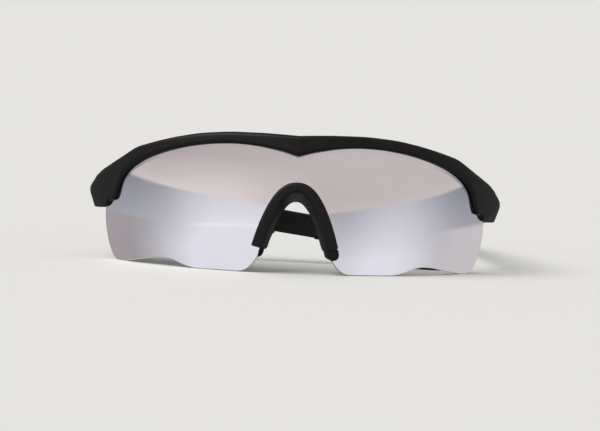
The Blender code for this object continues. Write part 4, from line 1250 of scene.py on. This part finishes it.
def mirrored_room(tree):
    """Colour that polished things see in each direction.

    The bench's edge rises from its lowest azimuth to both sides. The bench is brightest where its shares are
    high, grows lighter towards the front, and has a short bright ledge. Past both of its ends a low wall
    shows, with a slanting top. The studio above glows on one side. Below is a pale table, dark underneath.
    """
    direction = tree.nodes.new("ShaderNodeTexCoord").outputs["Generated"]
    parts = tree.nodes.new("ShaderNodeSeparateXYZ")
    tree.links.new(direction, parts.inputs[0])
    x, y, z = parts.outputs
    azimuth = maths(tree, "DEGREES", maths(tree, "ARCTAN2", x, maths(tree, "MULTIPLY", y, -1.0)))
    elevation = maths(tree, "DEGREES", maths(tree, "ARCSINE", z))
    left, lowest, right = BENCH_EDGE_AZIMUTHS
    rises = [remap(tree, azimuth, lowest, end, 0.0, BENCH_EDGE_RISE) for end in (left, right)]
    edge = maths(tree, "ADD", maths(tree, "ADD", *rises), BENCH_EDGE_LOW)
    above = maths(tree, "SUBTRACT", elevation, edge)

    ramp = tree.nodes.new("ShaderNodeValToRGB")
    ramp.color_ramp.interpolation = "B_SPLINE"
    stops = ramp.color_ramp.elements
    for _ in BENCH_SHARES[2:]:
        stops.new(0.5)
    for stop, place, share in zip(stops, np.linspace(left, right, len(BENCH_SHARES)), BENCH_SHARES):
        stop.position = 0.5 + place / 360
        stop.color = (share, share, share, 1.0)
    feed(tree, ramp.inputs["Fac"], maths(tree, "MULTIPLY_ADD", azimuth, 1 / 360, 0.5))
    nearer = remap(tree, above, BENCH_DEPTH, 0, BENCH_DEPTH_SHARE, 0.0)
    bench = blend_colours(tree, maths(tree, "ADD", ramp.outputs["Color"], nearer), *BENCH_TONES)
    off_ledge = maths(tree, "ABSOLUTE", maths(tree, "SUBTRACT", elevation, LEDGE_ELEVATION))
    off_middle = maths(tree, "ABSOLUTE", maths(tree, "SUBTRACT", azimuth, LEDGE_AZIMUTH))
    line = remap(tree, off_ledge, *LEDGE_FADE, LEDGE_SHARE, 0.0)
    along = remap(tree, off_middle, *LEDGE_ENDS, 1.0, 0.0)
    bench = blend_colours(tree, maths(tree, "MULTIPLY", line, along), bench, LEDGE_TONE)

    sideways = maths(tree, "ABSOLUTE", azimuth)
    past_end = remap(tree, sideways, *WALL_STARTS, 0.0, 1.0)
    top = maths(tree, "MULTIPLY_ADD", maths(tree, "SUBTRACT", sideways, right), WALL_SLANT, WALL_HIGH)
    under = remap(tree, maths(tree, "SUBTRACT", elevation, top), *WALL_FADE, 1.0, 0.0)
    wall = blend_colours(tree, remap(tree, azimuth, *WALL_AZIMUTHS, 0.0, 1.0), *WALL_TONES)
    low = blend_colours(tree, maths(tree, "MULTIPLY", past_end, under), bench, wall)

    sinking = remap(tree, elevation, *GLOW_ELEVATIONS, *GLOW_SHARES)
    glow = maths(tree, "MULTIPLY_ADD", remap(tree, azimuth, *GLOW_AZIMUTHS, 0.0, 1.0), sinking, STUDIO_SHARE)
    end = remap(tree, azimuth, *STUDIO_END_AZIMUTHS, 0.0, STUDIO_END_SHARE)
    rim = remap(tree, above, 0, STUDIO_RIM_HEIGHT, STUDIO_RIM_SHARE, 0.0)
    high = blend_colours(tree, maths(tree, "ADD", glow, maths(tree, "ADD", end, rim)), *STUDIO_TONES)
    is_high = remap(tree, above, -BENCH_EDGE_SOFTNESS, BENCH_EDGE_SOFTNESS, 0.0, 1.0)
    seen = blend_colours(tree, is_high, low, high)
    behind = remap(tree, sideways, *BEHIND, 0.0, 1.0)
    seen = blend_colours(tree, behind, seen, BEHIND_TONE)
    seen = blend_colours(tree, remap(tree, elevation, *TABLE, 0.0, 1.0), seen, TABLE_TONE)
    return blend_colours(tree, remap(tree, elevation, *UNDER, 0.0, 1.0), seen, UNDER_TONE)


world = bpy.data.worlds.new("studio")
bpy.context.scene.world = world
world.use_nodes = True
tree = world.node_tree
path = tree.nodes.new("ShaderNodeLightPath")
backdrop_colour = tuple(channel * (ROOM_LEVEL + KEY_LEVEL) for channel in FLOOR_COLOUR)
upwards = tree.nodes.new("ShaderNodeSeparateXYZ")
tree.links.new(tree.nodes.new("ShaderNodeTexCoord").outputs["Generated"], upwards.inputs[0])
lit = remap(tree, upwards.outputs["Z"], -UNDER_FADE, 0.0, 0.0, 1.0)
room = blend_colours(tree, lit, (UNDER_LEVEL,) * 3, (ROOM_LEVEL,) * 3)
unseen = blend_colours(tree, path.outputs["Is Glossy Ray"], room, mirrored_room(tree))
shown = blend_colours(tree, path.outputs["Is Camera Ray"], unseen, backdrop_colour)
tree.links.new(shown, tree.nodes["Background"].inputs["Color"])

key = bpy.data.objects.new("key", bpy.data.lights.new("key", "SUN"))
key.data.angle = KEY_WIDTH
key.data.energy = KEY_LEVEL * math.pi / math.sin(KEY_ELEVATION)
key.rotation_euler = (math.pi / 2 - KEY_ELEVATION, 0.0, KEY_AZIMUTH)
bpy.context.scene.collection.objects.link(key)

IMAGE_WIDTH = 600
IMAGE_MIDDLE = (300.0, 215.5)
CAMERA_LENS = 111.0
SENSOR_WIDTH = 36.0
CAMERA_DISTANCE = 0.6005
CAMERA_YAW = math.radians(0.78)
CAMERA_ELEVATION = math.radians(3.58)
CAMERA_ROLL = math.radians(2.36)
ANCHOR = Vector((0.0, LENS_FRONT, 0.0243))
ANCHOR_PIXEL = (296.64, 200.52)

camera = bpy.data.objects.new("camera", bpy.data.cameras.new("camera"))
camera.data.lens = CAMERA_LENS
camera.data.sensor_width = SENSOR_WIDTH
camera.data.sensor_fit = "HORIZONTAL"
camera.data.clip_start = 0.01
turn = Matrix.Rotation(-CAMERA_YAW, 3, "Z") @ Matrix.Rotation(math.pi / 2 - CAMERA_ELEVATION, 3, "X")
turn = turn @ Matrix.Rotation(CAMERA_ROLL, 3, "Z")
focal_pixels = CAMERA_LENS / SENSOR_WIDTH * IMAGE_WIDTH
across, down = ((at - middle) / focal_pixels for at, middle in zip(ANCHOR_PIXEL, IMAGE_MIDDLE))
place = ANCHOR - CAMERA_DISTANCE * (turn @ Vector((across, -down, -1.0)))
camera.matrix_world = Matrix.Translation(place) @ turn.to_4x4()
bpy.context.scene.collection.objects.link(camera)
bpy.context.scene.camera = camera
bpy.context.scene.view_settings.view_transform = "Standard"
